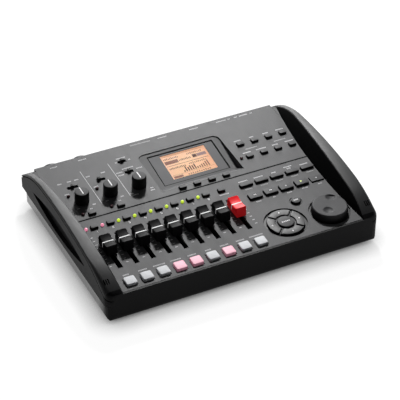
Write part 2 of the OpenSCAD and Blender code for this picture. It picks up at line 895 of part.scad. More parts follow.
module rotary_body(p, bushing_top) {
    h = board_drop - panel_t - run_gap;
    on_panel(p, -board_drop) difference() {
        union() {
            box([rotary_w, rotary_w, h]);
            cylinder(r = bushing_r, h = board_drop + bushing_top);
        }
        translate([0, 0, board_drop - shaft_reach - run_gap])
            cylinder(r = shaft_r + shaft_clear, h = board_drop);
    }
}

module rotary_bodies() {
    color(metal) {
        for (p = knob_sites) {
            rotary_body(p, 0);
        }
        rotary_body(dial_site, -dish_drop);
    }
}

module indicator_leds() {
    color("#7a2028") for (p = lamp_sites) on_panel(p, -board_drop) {
        cylinder(r = lamp_r, h = board_drop + lamp_h);
        translate([0, 0, board_drop + lamp_h]) intersection() {
            sphere(r = lamp_r);
            cylinder(r = lamp_r, h = lamp_r);
        }
    }
}

// Moving controls
module fader(i) {
    crest = cap_l / 2 - cap_slope;
    saddle_r = (pow(crest, 2) + pow(saddle_dip, 2)) / (2 * saddle_dip);
    color(i == columns ? "#c8242c" : black) on_panel([column_x(i), fader_y]) {
        translate([0, 0, cap_lift]) along_x(cap_w) difference() {
            polygon([[-cap_l / 2, 0], [cap_l / 2, 0], [crest, cap_h], [-crest, cap_h]]);
            translate([0, cap_h - saddle_dip + saddle_r]) circle(r = saddle_r, $fn = 180);
        }
        translate([0, 0, track_top - stem_reach])
            box([stem_w, stem_l - 2 * run_gap, cap_lift + 1 - track_top + stem_reach]);
    }
}

module knob(i) {
    color(black) on_panel(knob_sites[i]) {
        rotate_extrude() polygon([
            [0, -shaft_reach], [shaft_r, -shaft_reach], [shaft_r, knob_lift], [knob_r, knob_lift],
            [knob_r - knob_draft, knob_h - knob_edge], [knob_r - knob_edge, knob_h], [0, knob_h]
        ]);
    }
}

module jog_dial() {
    foot = knob_lift - dish_drop;
    top_r = dial_foot_r - dial_draft;
    color("#6e6e72") on_panel(dial_site) difference() {
        rotate_extrude() polygon([
            [0, -shaft_reach], [shaft_r, -shaft_reach], [shaft_r, foot], [dial_foot_r, foot],
            [top_r, dial_h - knob_edge], [top_r - knob_edge, dial_h], [0, dial_h]
        ]);
        for (p = dimples) {
            translate([p[0] * kr, p[1] * kr, dial_h + dimple_r - dimple_sink]) sphere(r = dimple_r);
        }
    }
}

module slide_switch(i) {
    site = slide_sites[i] + [slide_rest[i], 0];
    color(black) on_panel(site) {
        translate([0, 0, -panel_t]) box([slider_w, switch_slot_d - 2 * run_gap, panel_t + slider_h]);
        translate([0, 0, -panel_t - slider_foot - run_gap])
            box([slider_w, switch_slot_d - 2 * run_gap, slider_foot + run_gap]);
    }
}

// A key: cap through the panel, and a flange that stops it under the panel
module key(p, w, d, h, r) {
    on_panel(p, flange_z - flange_t) {
        plate(w + 2 * flange, d + 2 * flange, r, flange_t);
        plate(w, d, r, flange_t - flange_z + h);
    }
}

// A runner lies beside a row of keys and laps their flanges
function runner_shift(d) = d / 2 + flange + runner_w / 2 - runner_lap;

module runner(x0, x1, y) {
    on_panel([(x0 + x1) / 2, y], flange_z - flange_t) box([abs(x1 - x0), runner_w, flange_t]);
}

module pad(i) {
    color("#cdd0d4") key(pad_sites[i - 1], pad_w, pad_w, pad_h, pad_corner);
}

module transport_key(i) {
    color(key_colour) key(transport_sites[i], wide_w, transport_d, i == 4 ? record_h : key_h, key_corner);
}

module key_row(sites, w, d, runner_side) {
    last = len(sites) - 1;
    for (p = sites) {
        key(p, w, d, key_h, key_corner);
    }
    runner(sites[0][0], sites[last][0], sites[0][1] + runner_side * runner_shift(d));
}

module track_keys() {
    color(key_colour) key_row(track_key_sites, key_w, key_d, 1);
}

module function_keys() {
    color(key_colour) key_row(function_sites, wide_w, key_d, 1);
}

module soft_keys() {
    color(key_colour) key_row(soft_sites, key_w, soft_key_d, -1);
}

module utility_keys() {
    link_x = (utility_x[0] + utility_x[1]) / 2;
    link_y = runner_shift(key_d);
    color(key_colour) {
        for (y = utility_rows) {
            key_row([for (x = utility_x) [x, y]], key_w, key_d, 1);
        }
        on_panel([link_x, (utility_rows[0] + utility_rows[1]) / 2 + link_y], flange_z - flange_t)
            box([runner_w, utility_rows[1] - utility_rows[0], flange_t]);
    }
}

module cursor_key(a) {
    color(key_colour) on_panel(cursor_site, flange_z - flange_t) rotate(a) {
        linear_extrude(flange_t)
            cursor_sector(cursor_in - cursor_flange, cursor_out + flange, cursor_flange_gap);
        linear_extrude(flange_t - flange_z + cursor_h) cursor_sector(cursor_in, cursor_out, cursor_gap);
    }
}

module round_key(p, r, h) {
    color(key_colour) on_panel(p, flange_z - flange_t) {
        cylinder(r = r + flange, h = flange_t);
        cylinder(r = r, h = flange_t - flange_z + h);
    }
}

// Underside and small pieces
module rubber_feet() {
    color("#202020") for (p = foot_sites) translate([p[0], p[1], 0])
        cylinder(r = foot_r, h = foot_h + foot_seat);
}

module case_screws() {
    color(metal) for (p = boss_sites) translate([p[0], p[1], foot_h]) {
        cylinder(r = head_r, h = head_h);
        cylinder(r = screw_r, h = boss_joint_z - foot_h + screw_bite);
    }
}

module microphones() {
    color(metal) for (side = [-1, 1]) {
        translate([side * mic_site[0], mic_site[1], mic_top - run_gap - mic_len])
            cylinder(r = mic_r, h = mic_len);
    }
}

module battery_contacts() {
    contact_y = bay_l / 2 - contact_t / 2;
    contact_z = bay_z + (bay_h - contact_h) / 2;
    color(metal) for (i = [-1.5:1.5], side = [-1, 1]) {
        translate([i * cell_pitch, bay_y + side * contact_y, contact_z]) {
            box([contact_w, contact_t, contact_h]);
            translate([0, 0, contact_h / 2]) rotate([side * 90, 0, 0])
                cylinder(r = contact_r, h = contact_out);
        }
    }
}

// A rod along the battery cover's hinge
module cover_pin(r, reach_x) {
    translate([-reach_x, cover_axis_y, cover_axis_z]) rotate([0, 90, 0]) cylinder(r = r, h = 2 * reach_x);
}

module battery_cover() {
    cover_hw = bay_w / 2 - run_gap;
    cover_front = bay_y - bay_l / 2 + run_gap;
    color(case_colour) {
        translate([-cover_hw, cover_front, foot_h]) cube([2 * cover_hw, cover_axis_y - cover_front, cover_t]);
        cover_pin(cover_t / 2, cover_hw);
        cover_pin(pin_r, bay_w / 2 + pin_out - run_gap);
        translate([0, bay_y - bay_l / 2, foot_h])
            box([latch_w - 2 * run_gap, 2 * (latch_d - run_gap), cover_t]);
    }
}

lower_case();
control_panel();
left_rail();
right_rail();
display_window();
lcd_module();
control_board();
main_board();
combo_jacks();
rear_sockets();
fader_tracks();
rotary_bodies();
indicator_leds();
rubber_feet();
case_screws();
microphones();
battery_contacts();
for (i = [1:8]) fader(i);
fader(columns);  // master_fader
knob(0);  // input_1_knob
knob(1);  // input_2_knob
knob(2);  // level_knob
slide_switch(0);  // input_1_switch
slide_switch(1);  // input_2_switch
slide_switch(2);  // front_switch
slide_switch(3);  // rear_switch
jog_dial();
power_switch();
battery_cover();
for (i = [1:columns]) pad(i);
transport_key(0);  // back_key
transport_key(1);  // forward_key
transport_key(2);  // stop_key
transport_key(3);  // play_key
transport_key(4);  // record_key
cursor_key(0);  // cursor_right_key
cursor_key(90);  // cursor_up_key
cursor_key(180);  // cursor_left_key
cursor_key(270);  // cursor_down_key
round_key(cursor_site, enter_key_r, enter_h);  // enter_key
round_key(exit_site, exit_r, exit_h);  // exit_key
track_keys();
utility_keys();
function_keys();
soft_keys();
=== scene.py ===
"""Looks of a table-top multitrack recorder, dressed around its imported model."""
import math

import bmesh
import bpy
from mathutils import Matrix, Vector


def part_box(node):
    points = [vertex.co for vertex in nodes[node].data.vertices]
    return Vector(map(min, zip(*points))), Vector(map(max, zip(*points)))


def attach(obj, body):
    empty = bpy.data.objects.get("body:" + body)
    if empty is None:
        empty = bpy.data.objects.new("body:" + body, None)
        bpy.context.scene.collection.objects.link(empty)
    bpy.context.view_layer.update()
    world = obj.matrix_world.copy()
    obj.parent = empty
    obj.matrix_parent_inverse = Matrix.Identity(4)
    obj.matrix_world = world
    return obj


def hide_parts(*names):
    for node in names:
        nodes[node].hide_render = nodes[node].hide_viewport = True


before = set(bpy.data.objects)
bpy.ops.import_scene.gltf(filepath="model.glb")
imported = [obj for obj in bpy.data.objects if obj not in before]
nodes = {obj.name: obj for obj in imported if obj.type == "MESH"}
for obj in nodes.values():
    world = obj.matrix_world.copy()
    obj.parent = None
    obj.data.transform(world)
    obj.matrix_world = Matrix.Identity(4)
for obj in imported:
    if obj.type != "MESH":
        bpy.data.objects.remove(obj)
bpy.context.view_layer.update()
scene = bpy.context.scene

# Sizes are in millimetres where no comment says metres. Places on the panel are in its own plane:
# x to the right, y to the rear, z out of the face.
MM = 0.001
RAKE = math.radians(2.87)
PANEL_Z = 34.3
PITCH = 15.1
COLUMN_X = [-101.9 + PITCH * i for i in range(9)]
KEY_X = [x + 0.4 for x in COLUMN_X]
WIDE_X = [42.6 + 15.25 * i for i in range(5)]
UTILITY_X = [64.9 + 14.4 * i for i in range(4)]
SOFT_X = [-95.6, -68.6, -9.6, 4.67, 18.94, 33.2]
CURSOR = (50.3, -70.0)
DIAL = (92.3, -71.5)
EXIT = (71.8, -48.3)
FADER_Y = -38.4

# The display well is raked more than the panel; the display's middle is given from the well's middle
WELL_X, WELL_Y = 12.8, 44.0
WELL_RAKE = math.radians(7.2)
WELL_LIP, WELL_HALF = 0.65, 23.0
WELL_DROP = WELL_LIP + WELL_HALF * math.tan(WELL_RAKE)
LCD_W, LCD_D = 43.9, 31.0
LCD_X, LCD_Y = 0.8, 1.2

WORLD = Matrix.Scale(MM, 4)
PANEL = WORLD @ Matrix.Translation((0, 0, PANEL_Z)) @ Matrix.Rotation(RAKE, 4, "X")
WELL = PANEL @ Matrix.Translation((WELL_X, WELL_Y, -WELL_DROP)) @ Matrix.Rotation(WELL_RAKE, 4, "X")


def on_panel(x, y):
    return PANEL @ Matrix.Translation((x, y, 0.0))


# Shader writing

class Wire:
    """A shader socket that takes part in sums, so that 1 - mask works."""

    def __init__(self, look, socket):
        self.look, self.socket = look, socket

    def reckon(self, operation, *values):
        return self.look.node("ShaderNodeMath", {"operation": operation}, dict(enumerate(values)))

    def __add__(self, other):
        return self.reckon("ADD", self, other)

    def __sub__(self, other):
        return self.reckon("SUBTRACT", self, other)

    def __rsub__(self, other):
        return self.reckon("SUBTRACT", other, self)

    def __mul__(self, other):
        return self.reckon("MULTIPLY", self, other)

    def __pow__(self, other):
        return self.reckon("POWER", self, other)

    def at_least(self, other):
        return self.reckon("MAXIMUM", self, other)

    def size(self):
        return self.reckon("ABSOLUTE", self)

    def share_of(self, run):
        """The value over run, held between 0 and 1."""
        held = {"operation": "MULTIPLY", "use_clamp": True}
        return self.look.node("ShaderNodeMath", held, {0: self, 1: 1 / run})

    __radd__ = __add__
    __rmul__ = __mul__


class Look:
    """One material or world, written as expressions on Wire sockets."""

    def __init__(self, name, family=bpy.data.materials, space="Object"):
        self.material = family.new(name)
        self.material.use_nodes = True
        self.tree = self.material.node_tree
        self.tree.nodes.clear()
        self.place = self.node("ShaderNodeTexCoord", out=space)

    def node(self, kind, settings=None, sockets=None, out=0):
        made = self.tree.nodes.new(kind)
        for key, value in (settings or {}).items():
            setattr(made, key, value)
        for key, value in (sockets or {}).items():
            if isinstance(value, Wire):
                self.tree.links.new(value.socket, made.inputs[key])
            else:
                made.inputs[key].default_value = value
        return Wire(self, made.outputs[out])

    def part(self, axis):
        """One coordinate of the place, in metres on a piece."""
        return self.node("ShaderNodeSeparateXYZ", None, {0: self.place}, axis)

    def noise(self, scale, detail=3.0, rough=0.55, stretch=None):
        where = self.place
        if stretch:
            where = self.node("ShaderNodeMapping", None, {"Vector": where, "Scale": stretch})
        sockets = {"Vector": where, "Scale": scale, "Detail": detail, "Roughness": rough}
        return self.node("ShaderNodeTexNoise", None, sockets, "Fac")

    def blend(self, share, first, second):
        return self.node("ShaderNodeMix", {"data_type": "RGBA"}, {0: share, 6: first, 7: second}, 2)

    def bump(self, height, depth):
        sockets = {"Height": height, "Distance": depth, "Strength": 1.0}
        return self.node("ShaderNodeBump", None, sockets, "Normal")

    def finish(self, **sockets):
        """Closes the look with one surface; _ stands for the space in a socket's name."""
        named = {key.replace("_", " "): value for key, value in sockets.items()}
        return self.close(self.node("ShaderNodeBsdfPrincipled", None, named, "BSDF"))

    def close(self, surface, end="ShaderNodeOutputMaterial"):
        self.tree.links.new(surface.socket, self.tree.nodes.new(end).inputs["Surface"])
        return self.material


def tint(colour, share):
    return tuple(min(1.0, c * share) for c in colour) + (1.0,)


# Finishes: patterns in waves per metre, depths in metres

CLOUD, HANDLING, CASE_GRAIN, INK_GRAIN = 35.0, 240.0, 5200.0, 2600.0
LAMP_DRIFT, DRAWN_GRAIN, WIPING, LACQUER_GRAIN = 320.0, 1500.0, 300.0, 4000.0
SHEET_DRIFT, CELL_GRAIN, TRACK_GRID = 42.0, 5200.0, 260.0
ALONG_Y, LONG_ALONG_Y, ALONG_X = (1.0, 0.3, 1.0), (1.0, 0.25, 1.0), (1.0, 12.0, 12.0)
# Where the case's polish starts on its sides and ends towards the front, in metres
POLISH_FROM, POLISH_BLEND = 0.1235, 0.004
POLISH_FRONT, POLISH_FADE = -0.094, 0.016


def moulded(name, colour, rough, grain=9000.0, depth=0.00002, cloud=0.12, coat=0.0, gloss=0.5, glow=0.0):
    """Moulded plastic: fine grain, slow cloudiness and faint handling marks.

    A little glow, which is painted light, holds a strong colour in the shade.
    """
    look = Look(name)
    fine = look.noise(grain, 2.0)
    slow = look.noise(CLOUD, 4.0)
    marks = look.noise(HANDLING, 5.0, 0.7, LONG_ALONG_Y)
    shade = look.blend(slow * 0.6 + fine * 0.4, tint(colour, 1.0 - cloud), tint(colour, 1.0 + cloud))
    sheen = rough + (marks - 0.5) * 0.16 + (fine - 0.5) * 0.1
    return look.finish(Base_Color=shade, Roughness=sheen, Normal=look.bump(fine, depth),
                       Coat_Weight=coat, Coat_Roughness=0.25, Specular_IOR_Level=gloss,
                       Emission_Color=tint(colour, 1.0), Emission_Strength=glow)


def case_plastic():
    """Fine-grained black plastic, with a polish on the outer sides that ends before the front corners."""
    look = Look("case_black")
    fine = look.noise(CASE_GRAIN, 2.0)
    slow = look.noise(CLOUD, 4.0)
    shade = look.blend(slow, (0.0021, 0.0021, 0.0024, 1.0), (0.003, 0.003, 0.0034, 1.0))
    side = (look.part("X").size() - POLISH_FROM).share_of(POLISH_BLEND)
    polish = side * (look.part("Y") - POLISH_FRONT).share_of(POLISH_FADE)
    return look.finish(Base_Color=shade, Roughness=0.42 + fine * 0.1, Normal=look.bump(fine, 0.00002),
                       Coat_Weight=polish, Coat_Roughness=0.2, Coat_IOR=1.55, Specular_IOR_Level=0.08)


def ink(name, colour, glow=0.0):
    """Screen-printed ink, thin in places; a little glow, which is painted light, keeps bright paint light in
    the shade.
    """
    look = Look(name)
    thin = look.noise(INK_GRAIN)
    shade = look.blend(thin, tint(colour, 0.86), tint(colour, 1.06))
    return look.finish(Base_Color=shade, Roughness=0.5 + thin * 0.2, Normal=look.bump(thin, 0.000004),
                       Emission_Color=tint(colour, 1.0), Emission_Strength=glow)


def glowing(name, colour, light, strength, rough=0.35):
    """Tinted plastic with a lamp behind it, uneven as the lamp spreads."""
    look = Look(name)
    uneven = look.noise(LAMP_DRIFT, 2.0)
    shade = look.blend(uneven, tint(colour, 0.9), tint(colour, 1.05))
    lit = look.blend(uneven, tint(light, 0.8), tint(light, 1.1))
    return look.finish(Base_Color=shade, Roughness=rough + uneven * 0.1, Emission_Color=lit,
                       Emission_Strength=strength, Normal=look.bump(uneven, 0.00001))


def brushed(name, colour, rough):
    """Plated steel with a fine drawn grain."""
    look = Look(name)
    drawn = look.noise(DRAWN_GRAIN, 4.0, 0.6, ALONG_X)
    shade = look.blend(drawn, tint(colour, 0.82), tint(colour, 1.1))
    return look.finish(Base_Color=shade, Metallic=1.0, Roughness=rough + drawn * 0.15,
                       Normal=look.bump(drawn, 0.000006))


def display_glow():
    """Amber backlight: rosy at the rim, pale in the middle where the lamp's sheet is even."""
    look = Look("display_glow")
    drift = look.noise(SHEET_DRIFT, 2.0)
    cell = look.noise(CELL_GRAIN, 1.0)
    reach = []
    for axis, middle, length in (("X", WELL_X + LCD_X, LCD_W), ("Y", WELL_Y + LCD_Y, LCD_D)):
        reach.append(((look.part(axis) - middle * MM) * (2 / (length * MM))).size())
    rim = reach[0].at_least(reach[1]) ** 3.0
    amber = look.blend(drift * 1.5 - 0.25, (1.0, 0.51, 0.26, 1.0), (1.0, 0.65, 0.37, 1.0))
    warm = look.blend(rim * 0.4, amber, (0.9, 0.33, 0.22, 1.0))
    lit = look.blend(cell * 0.2, warm, (1.0, 0.77, 0.53, 1.0))
    return look.finish(Base_Color=(0.25, 0.14, 0.07, 1.0), Roughness=0.4,
                       Emission_Color=lit, Emission_Strength=0.92)


def clear_sheet():
    """Hard-coated clear plastic with wiping marks in its gloss."""
    look = Look("window_clear")
    wiped = look.noise(WIPING, 4.0, 0.6, ALONG_Y)
    return look.finish(Base_Color=(0.9, 0.92, 0.94, 1.0), Roughness=0.03 + wiped * 0.06,
                       Transmission_Weight=1.0, IOR=1.49)


def board_lacquer():
    """Board under dark lacquer, with faint tracks."""
    look = Look("board_lacquer")
    tracks = look.node("ShaderNodeTexBrick", {"offset": 0.5}, {
        "Vector": look.place, "Scale": TRACK_GRID, "Mortar Size": 0.03, "Color1": (0.004, 0.010, 0.007, 1),
        "Color2": (0.003, 0.008, 0.006, 1), "Mortar": (0.01, 0.03, 0.018, 1)})
    fine = look.noise(LACQUER_GRAIN)
    return look.finish(Base_Color=tracks, Roughness=0.35 + fine * 0.2, Normal=look.bump(fine, 0.000008))


PANEL_GREY = moulded("panel_grey", (0.066, 0.066, 0.068), 0.55, 7000.0, 0.00003, 0.06, gloss=0.19)
# Tops of the keys, knobs and jog dial are painted lighter than their black sides: painted sheen of the light
# from behind
KEY_TOP_PAINTED_SHEEN = moulded("key_top", (0.05, 0.05, 0.052), 0.55, 9000.0, 0.00001, 0.08, gloss=0.18)
KEY_SIDE = moulded("key_side", (0.004, 0.004, 0.0045), 0.55, gloss=0.12)
KNOB_TOP_PAINTED_SHEEN = moulded("knob_top", (0.045, 0.045, 0.047), 0.6, 9000.0, 0.00001, 0.08, gloss=0.17)
KNOB_SIDE = moulded("knob_side", (0.004, 0.004, 0.0045), 0.45, gloss=0.16)
DIAL_TOP_PAINTED_SHEEN = moulded("dial_top", (0.04, 0.04, 0.042), 0.55, 8000.0, 0.00001, 0.08, gloss=0.18)
RAIL_BLACK = moulded("rail_black", (0.006, 0.006, 0.0065), 0.52, 6500.0, 0.000012, 0.15, gloss=0.29)
RAIL_FLANK = moulded("rail_flank", (0.005, 0.005, 0.0055), 0.5, 6500.0, 0.000012, 0.15, gloss=0.07)
# Darker rail finish: painted shade on the rails' inner walls and inside the vents
RAIL_PAINTED_SHADE = moulded("rail_deep", (0.0015, 0.0015, 0.0017), 0.6, 5200.0, 0.00002, 0.15, gloss=0.03)
# Textured grip finish, darker than the flank: painted shade of the grip recess and of the groove
GRIP_AND_RECESS_SHADE = moulded("grip_black", (0.002, 0.002, 0.0022), 0.65, 3000.0, 0.00003, 0.2, gloss=0.06)
CASE_BLACK = case_plastic()
FADER_BLACK = moulded("fader_black", (0.004, 0.004, 0.0045), 0.5, 8000.0, 0.00001, 0.15, gloss=0.05)
# The red fader glows a little: painted light that keeps its red bright in the shade
FADER_RED = moulded("fader_red", (0.9, 0.015, 0.022), 0.4, 8000.0, 0.00001, 0.08, gloss=0.15, glow=0.12)
# The fader line glows a little: painted light that keeps it white on the cap's shaded sides
FADER_LINE = ink("fader_line", (0.8, 0.8, 0.8), 0.2)
# Black of the cursor keys' sides, also used as painted shade in the round dishes
BLACK_AND_DISH_SHADE = moulded("dish_black", (0.004, 0.004, 0.0045), 0.4, gloss=0.15)
# Tops of the cursor keys, painted lighter than their black sides as painted sheen
SECTOR_TOP_PAINTED_SHEEN = moulded("sector_grey", (0.012, 0.012, 0.013), 0.5, gloss=0.35)
PAD_PALE = moulded("pad_pale", (0.64, 0.65, 0.67), 0.6, 6000.0, 0.00001, 0.04, gloss=0.25)
PAD_LIT = glowing("pad_lit", (0.85, 0.4, 0.5), (1.0, 0.42, 0.55), 0.12, 0.5)
LAMP_GREEN = glowing("lamp_green", (0.55, 0.72, 0.05), (0.62, 0.85, 0.06), 0.8, 0.15)
LAMP_PINK = glowing("lamp_pink", (0.85, 0.3, 0.38), (1.0, 0.3, 0.45), 0.75, 0.15)
LAMP_DARK = moulded("lamp_dark", (0.05, 0.008, 0.014), 0.15, 3000.0, 0.000004, 0.2, coat=0.5)
PLAY_GLOW = glowing("play_glow", (0.4, 0.5, 0.08), (0.5, 0.66, 0.08), 0.5, 0.4)
PRINT_WHITE = ink("print_white", (0.8, 0.8, 0.8))
PRINT_SOFT = ink("print_soft", (0.42, 0.42, 0.43))
PRINT_FAINT = ink("print_faint", (0.24, 0.24, 0.245))
DISPLAY_GLOW = display_glow()
DISPLAY_INK = glowing("display_ink", (0.04, 0.02, 0.01), (0.09, 0.03, 0.018), 1.0)
DISPLAY_HALF = glowing("display_half", (0.05, 0.02, 0.01), (0.28, 0.11, 0.07), 1.0)
DISPLAY_MAUVE = glowing("display_mauve", (0.05, 0.03, 0.03), (0.34, 0.2, 0.19), 1.0)
DISPLAY_SOFT = glowing("display_soft", (0.06, 0.03, 0.02), (0.5, 0.22, 0.12), 1.0)
WINDOW_CLEAR = clear_sheet()
MASK_GREY = moulded("mask_grey", (0.08, 0.08, 0.084), 0.5, 9000.0, 0.000002, 0.06, gloss=0.12)
MASK_BLACK = moulded("mask_black", (0.02, 0.02, 0.022), 0.3)
BOARD_LACQUER = board_lacquer()
STEEL = brushed("plated_steel", (0.34, 0.34, 0.35), 0.3)
SOCKET_BLACK = moulded("socket_black", (0.008, 0.008, 0.0088), 0.42, gloss=0.25)
# Near black with little gloss, used as painted shade: in the fader slots, in the contact holes, round the
# window and in the panel's groove
PAINTED_SHADE_BLACK = moulded("track_black", (0.002, 0.002, 0.0022), 0.7, gloss=0.04)
FOOT_RUBBER = moulded("foot_rubber", (0.014, 0.014, 0.014), 0.75, 3000.0, 0.00004, 0.2)


# Mesh writing

CORNER_STEPS, BEVEL_STEPS, LEAST_R = 6, 4, 0.08
ROUND, SMALL_ROUND, SHAFT_ROUND = 144, 24, 32
MERGE, CARVE_MERGE = 1e-7, 1e-6  # metres
SHARP = 38.0


class Piece:
    """Mesh of one finished piece, drawn in millimetres and kept in metres."""

    def __init__(self, name):
        self.name, self.bm, self.looks = name, bmesh.new(), []

    def look(self, material):
        if material not in self.looks:
            self.looks.append(material)
        return self.looks.index(material)

    def loft(self, place, rings, material, top=None, top_from=None, strips=None):
        """Skins a stack of closed rings and caps it.

        From ring top_from on, faces take the top's material; strips gives lengthwise bands their own.
        """
        low_look, high_look = self.look(material), self.look(top or material)
        bands = {i: self.look(m) for i, m in (strips or {}).items()}
        change = len(rings) - 1 if top_from is None else top_from
        layers = [[self.bm.verts.new(place @ Vector(p)) for p in ring] for ring in rings]
        count = len(layers[0])
        for k in range(len(layers) - 1):
            low, high = layers[k], layers[k + 1]
            for i in range(count):
                j = (i + 1) % count
                face = self.bm.faces.new((low[i], low[j], high[j], high[i]))
                face.material_index = bands.get(i, low_look if k < change else high_look)
        self.bm.faces.new(list(reversed(layers[0]))).material_index = low_look
        self.bm.faces.new(layers[-1]).material_index = high_look

    def shape(self, place, points, low, high, material):
        self.loft(place, [[(x, y, z) for x, y in points] for z in (low, high)], material)

    def box(self, place, low, high, material):
        (x0, y0, z0), (x1, y1, z1) = low, high
        self.shape(place, [(x0, y0), (x1, y0), (x1, y1), (x0, y1)], z0, z1, material)

    def mesh(self, merge=0.0):
        """The piece as mesh data; with merge, doubles are joined and faces turned outwards."""
        if merge:
            bmesh.ops.remove_doubles(self.bm, verts=self.bm.verts, dist=merge)
            bmesh.ops.recalc_face_normals(self.bm, faces=self.bm.faces)
        mesh = bpy.data.meshes.new(self.name)
        self.bm.to_mesh(mesh)
        self.bm.free()
        for material in self.looks:
            mesh.materials.append(material)
        return mesh

    def done(self, body, stands_for=(), sharp=SHARP, merge=0.0):
        settle(self.name, self.mesh(merge), body, stands_for, sharp)


def settle(name, mesh, body, stands_for=(), sharp=SHARP):
    """Makes the mesh a piece that rides on a body."""
    mesh.polygons.foreach_set("use_smooth", [True] * len(mesh.polygons))
    mesh.set_sharp_from_angle(angle=math.radians(sharp))
    piece = bpy.data.objects.new(name, mesh)
    scene.collection.objects.link(piece)
    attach(piece, body)
    if stands_for:
        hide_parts(*stands_for)


def spread(start, stop, count):
    return [start + (stop - start) * k / count for k in range(count + 1)]


def outline(w, d, r):
    """Rounded rectangle, anticlockwise."""
    x, y = w / 2 - r, d / 2 - r
    points = []
    for cx, cy, start in ((x, y, 0), (-x, y, 90), (-x, -y, 180), (x, -y, 270)):
        for turn in spread(start, start + 90, CORNER_STEPS):
            a = math.radians(turn)
            points.append((cx + r * math.cos(a), cy + r * math.sin(a)))
    return points


def circle(r, count, ripple=0.0, teeth=0):
    """Circle as count points, fluted where a ripple is given."""
    points = []
    for i in range(count):
        a = 2 * math.pi * i / count
        reach = r + ripple * math.cos(teeth * a)
        points.append((reach * math.cos(a), reach * math.sin(a)))
    return points


def rounded_stack(make, low, high, bevel):
    """Rings of an upright block whose top edge is rounded; make(inset) gives the outline."""
    levels = [(0.0, low), (0.0, high - bevel)]
    for k in range(1, BEVEL_STEPS + 1):
        a = math.radians(90 * k / BEVEL_STEPS)
        levels.append((bevel * (1 - math.cos(a)), high - bevel + bevel * math.sin(a)))
    return [[(x, y, z) for x, y in make(inset)] for inset, z in levels]


def block(w, d, r, low, high, bevel):
    return rounded_stack(lambda s: outline(w - 2 * s, d - 2 * s, max(r - s, LEAST_R)), low, high, bevel)


def disc(r, low, high, bevel, count=64):
    return rounded_stack(lambda s: circle(r - s, count), low, high, bevel)


def hoop(piece, sections, material):
    """Skins a closed loop of closed sections."""
    look = piece.look(material)
    spokes = [[piece.bm.verts.new(p) for p in section] for section in sections]
    for i, this in enumerate(spokes):
        following = spokes[(i + 1) % len(spokes)]
        for k in range(len(this)):
            j = (k + 1) % len(this)
            face = piece.bm.faces.new((this[k], following[k], following[j], this[j]))
            face.material_index = look


def revolve(piece, place, profile, material, count=96):
    """Turns a closed outline of (radius, height) about the place's upright axis."""
    sections = []
    for i in range(count):
        a = 2 * math.pi * i / count
        sections.append([place @ Vector((r * math.cos(a), r * math.sin(a), z)) for r, z in profile])
    hoop(piece, sections, material)


def surround(piece, place, outer, inner, low, high, material):
    """Flat frame between two rectangles, each given as (x0, y0, x1, y1)."""
    sections = []
    for i, j in ((0, 1), (2, 1), (2, 3), (0, 3)):
        corners = ((outer, low), (outer, high), (inner, high), (inner, low))
        sections.append([place @ Vector((edge[i], edge[j], z)) for edge, z in corners])
    hoop(piece, sections, material)


# Repeated things, made with geometry nodes

def evaluated(holder):
    """The holder's mesh with its modifiers worked in."""
    bpy.context.view_layer.update()
    return bpy.data.meshes.new_from_object(holder.evaluated_get(bpy.context.evaluated_depsgraph_get()))


def repeat(name, place, sites, sizes, stamp, material, turn=(RAKE, 0.0, 0.0)):
    """Sets one stamp on every site and returns the result as a plain mesh."""
    tree = bpy.data.node_groups.new(name + "_tree", "GeometryNodeTree")

    def entry(key, kind):
        return tree.interface.new_socket(key, in_out="INPUT", socket_type="NodeSocket" + kind).identifier

    entry("Geometry", "Geometry")
    tree.interface.new_socket("Geometry", in_out="OUTPUT", socket_type="NodeSocketGeometry")
    entries = {key: entry(key, "Float") for key in sizes}
    entries["Turn"] = entry("Turn", "Rotation")
    entries["Finish"] = entry("Finish", "Material")
    start, end = tree.nodes.new("NodeGroupInput"), tree.nodes.new("NodeGroupOutput")

    def add(kind, sockets, out=0):
        made = tree.nodes.new(kind)
        for key, value in sockets.items():
            if isinstance(value, bpy.types.NodeSocket):
                tree.links.new(value, made.inputs[key])
            else:
                made.inputs[key].default_value = value
        return made.outputs[out]

    points = add("GeometryNodeMeshToPoints", {"Mesh": start.outputs["Geometry"]})
    shape = stamp(add, {key: start.outputs[key] for key in sizes})
    placed = add("GeometryNodeInstanceOnPoints",
                 {"Points": points, "Instance": shape, "Rotation": start.outputs["Turn"]})
    solid = add("GeometryNodeRealizeInstances", {"Geometry": placed})
    painted = add("GeometryNodeSetMaterial", {"Geometry": solid, "Material": start.outputs["Finish"]})
    tree.links.new(painted, end.inputs["Geometry"])
    cloud = bpy.data.meshes.new(name + "_sites")
    cloud.from_pydata([place @ Vector(p) for p in sites], [], [])
    maker = bpy.data.objects.new(name + "_maker", cloud)
    scene.collection.objects.link(maker)
    step = maker.modifiers.new("repeat", "NODES")
    step.node_group = tree
    for key, value in sizes.items():
        step[entries[key]] = value * MM
    step[entries["Turn"]] = turn
    step[entries["Finish"]] = material
    result = evaluated(maker)
    bpy.data.objects.remove(maker)
    result.name = name
    result.materials.clear()
    result.materials.append(material)
    return result


def bar_stamp(add, size):
    extent = add("ShaderNodeCombineXYZ", {"X": size["Length"], "Y": size["Width"], "Z": size["Height"]})
    return add("GeometryNodeMeshCube", {"Size": extent}, "Mesh")


def dome_stamp(add, size):
    return add("GeometryNodeMeshUVSphere", {"Segments": 24, "Rings": 12, "Radius": size["Radius"]}, "Mesh")


# Camera, at the photograph's viewing angle

VIEW_TURN, VIEW_RISE = math.radians(-26.08), math.radians(36.44)
VIEW_AWAY, VIEW_TARGET = 1.4888, Vector((0.00022, -0.005, 0.02795))  # metres
LENS, SENSOR = 153.14, 36.0


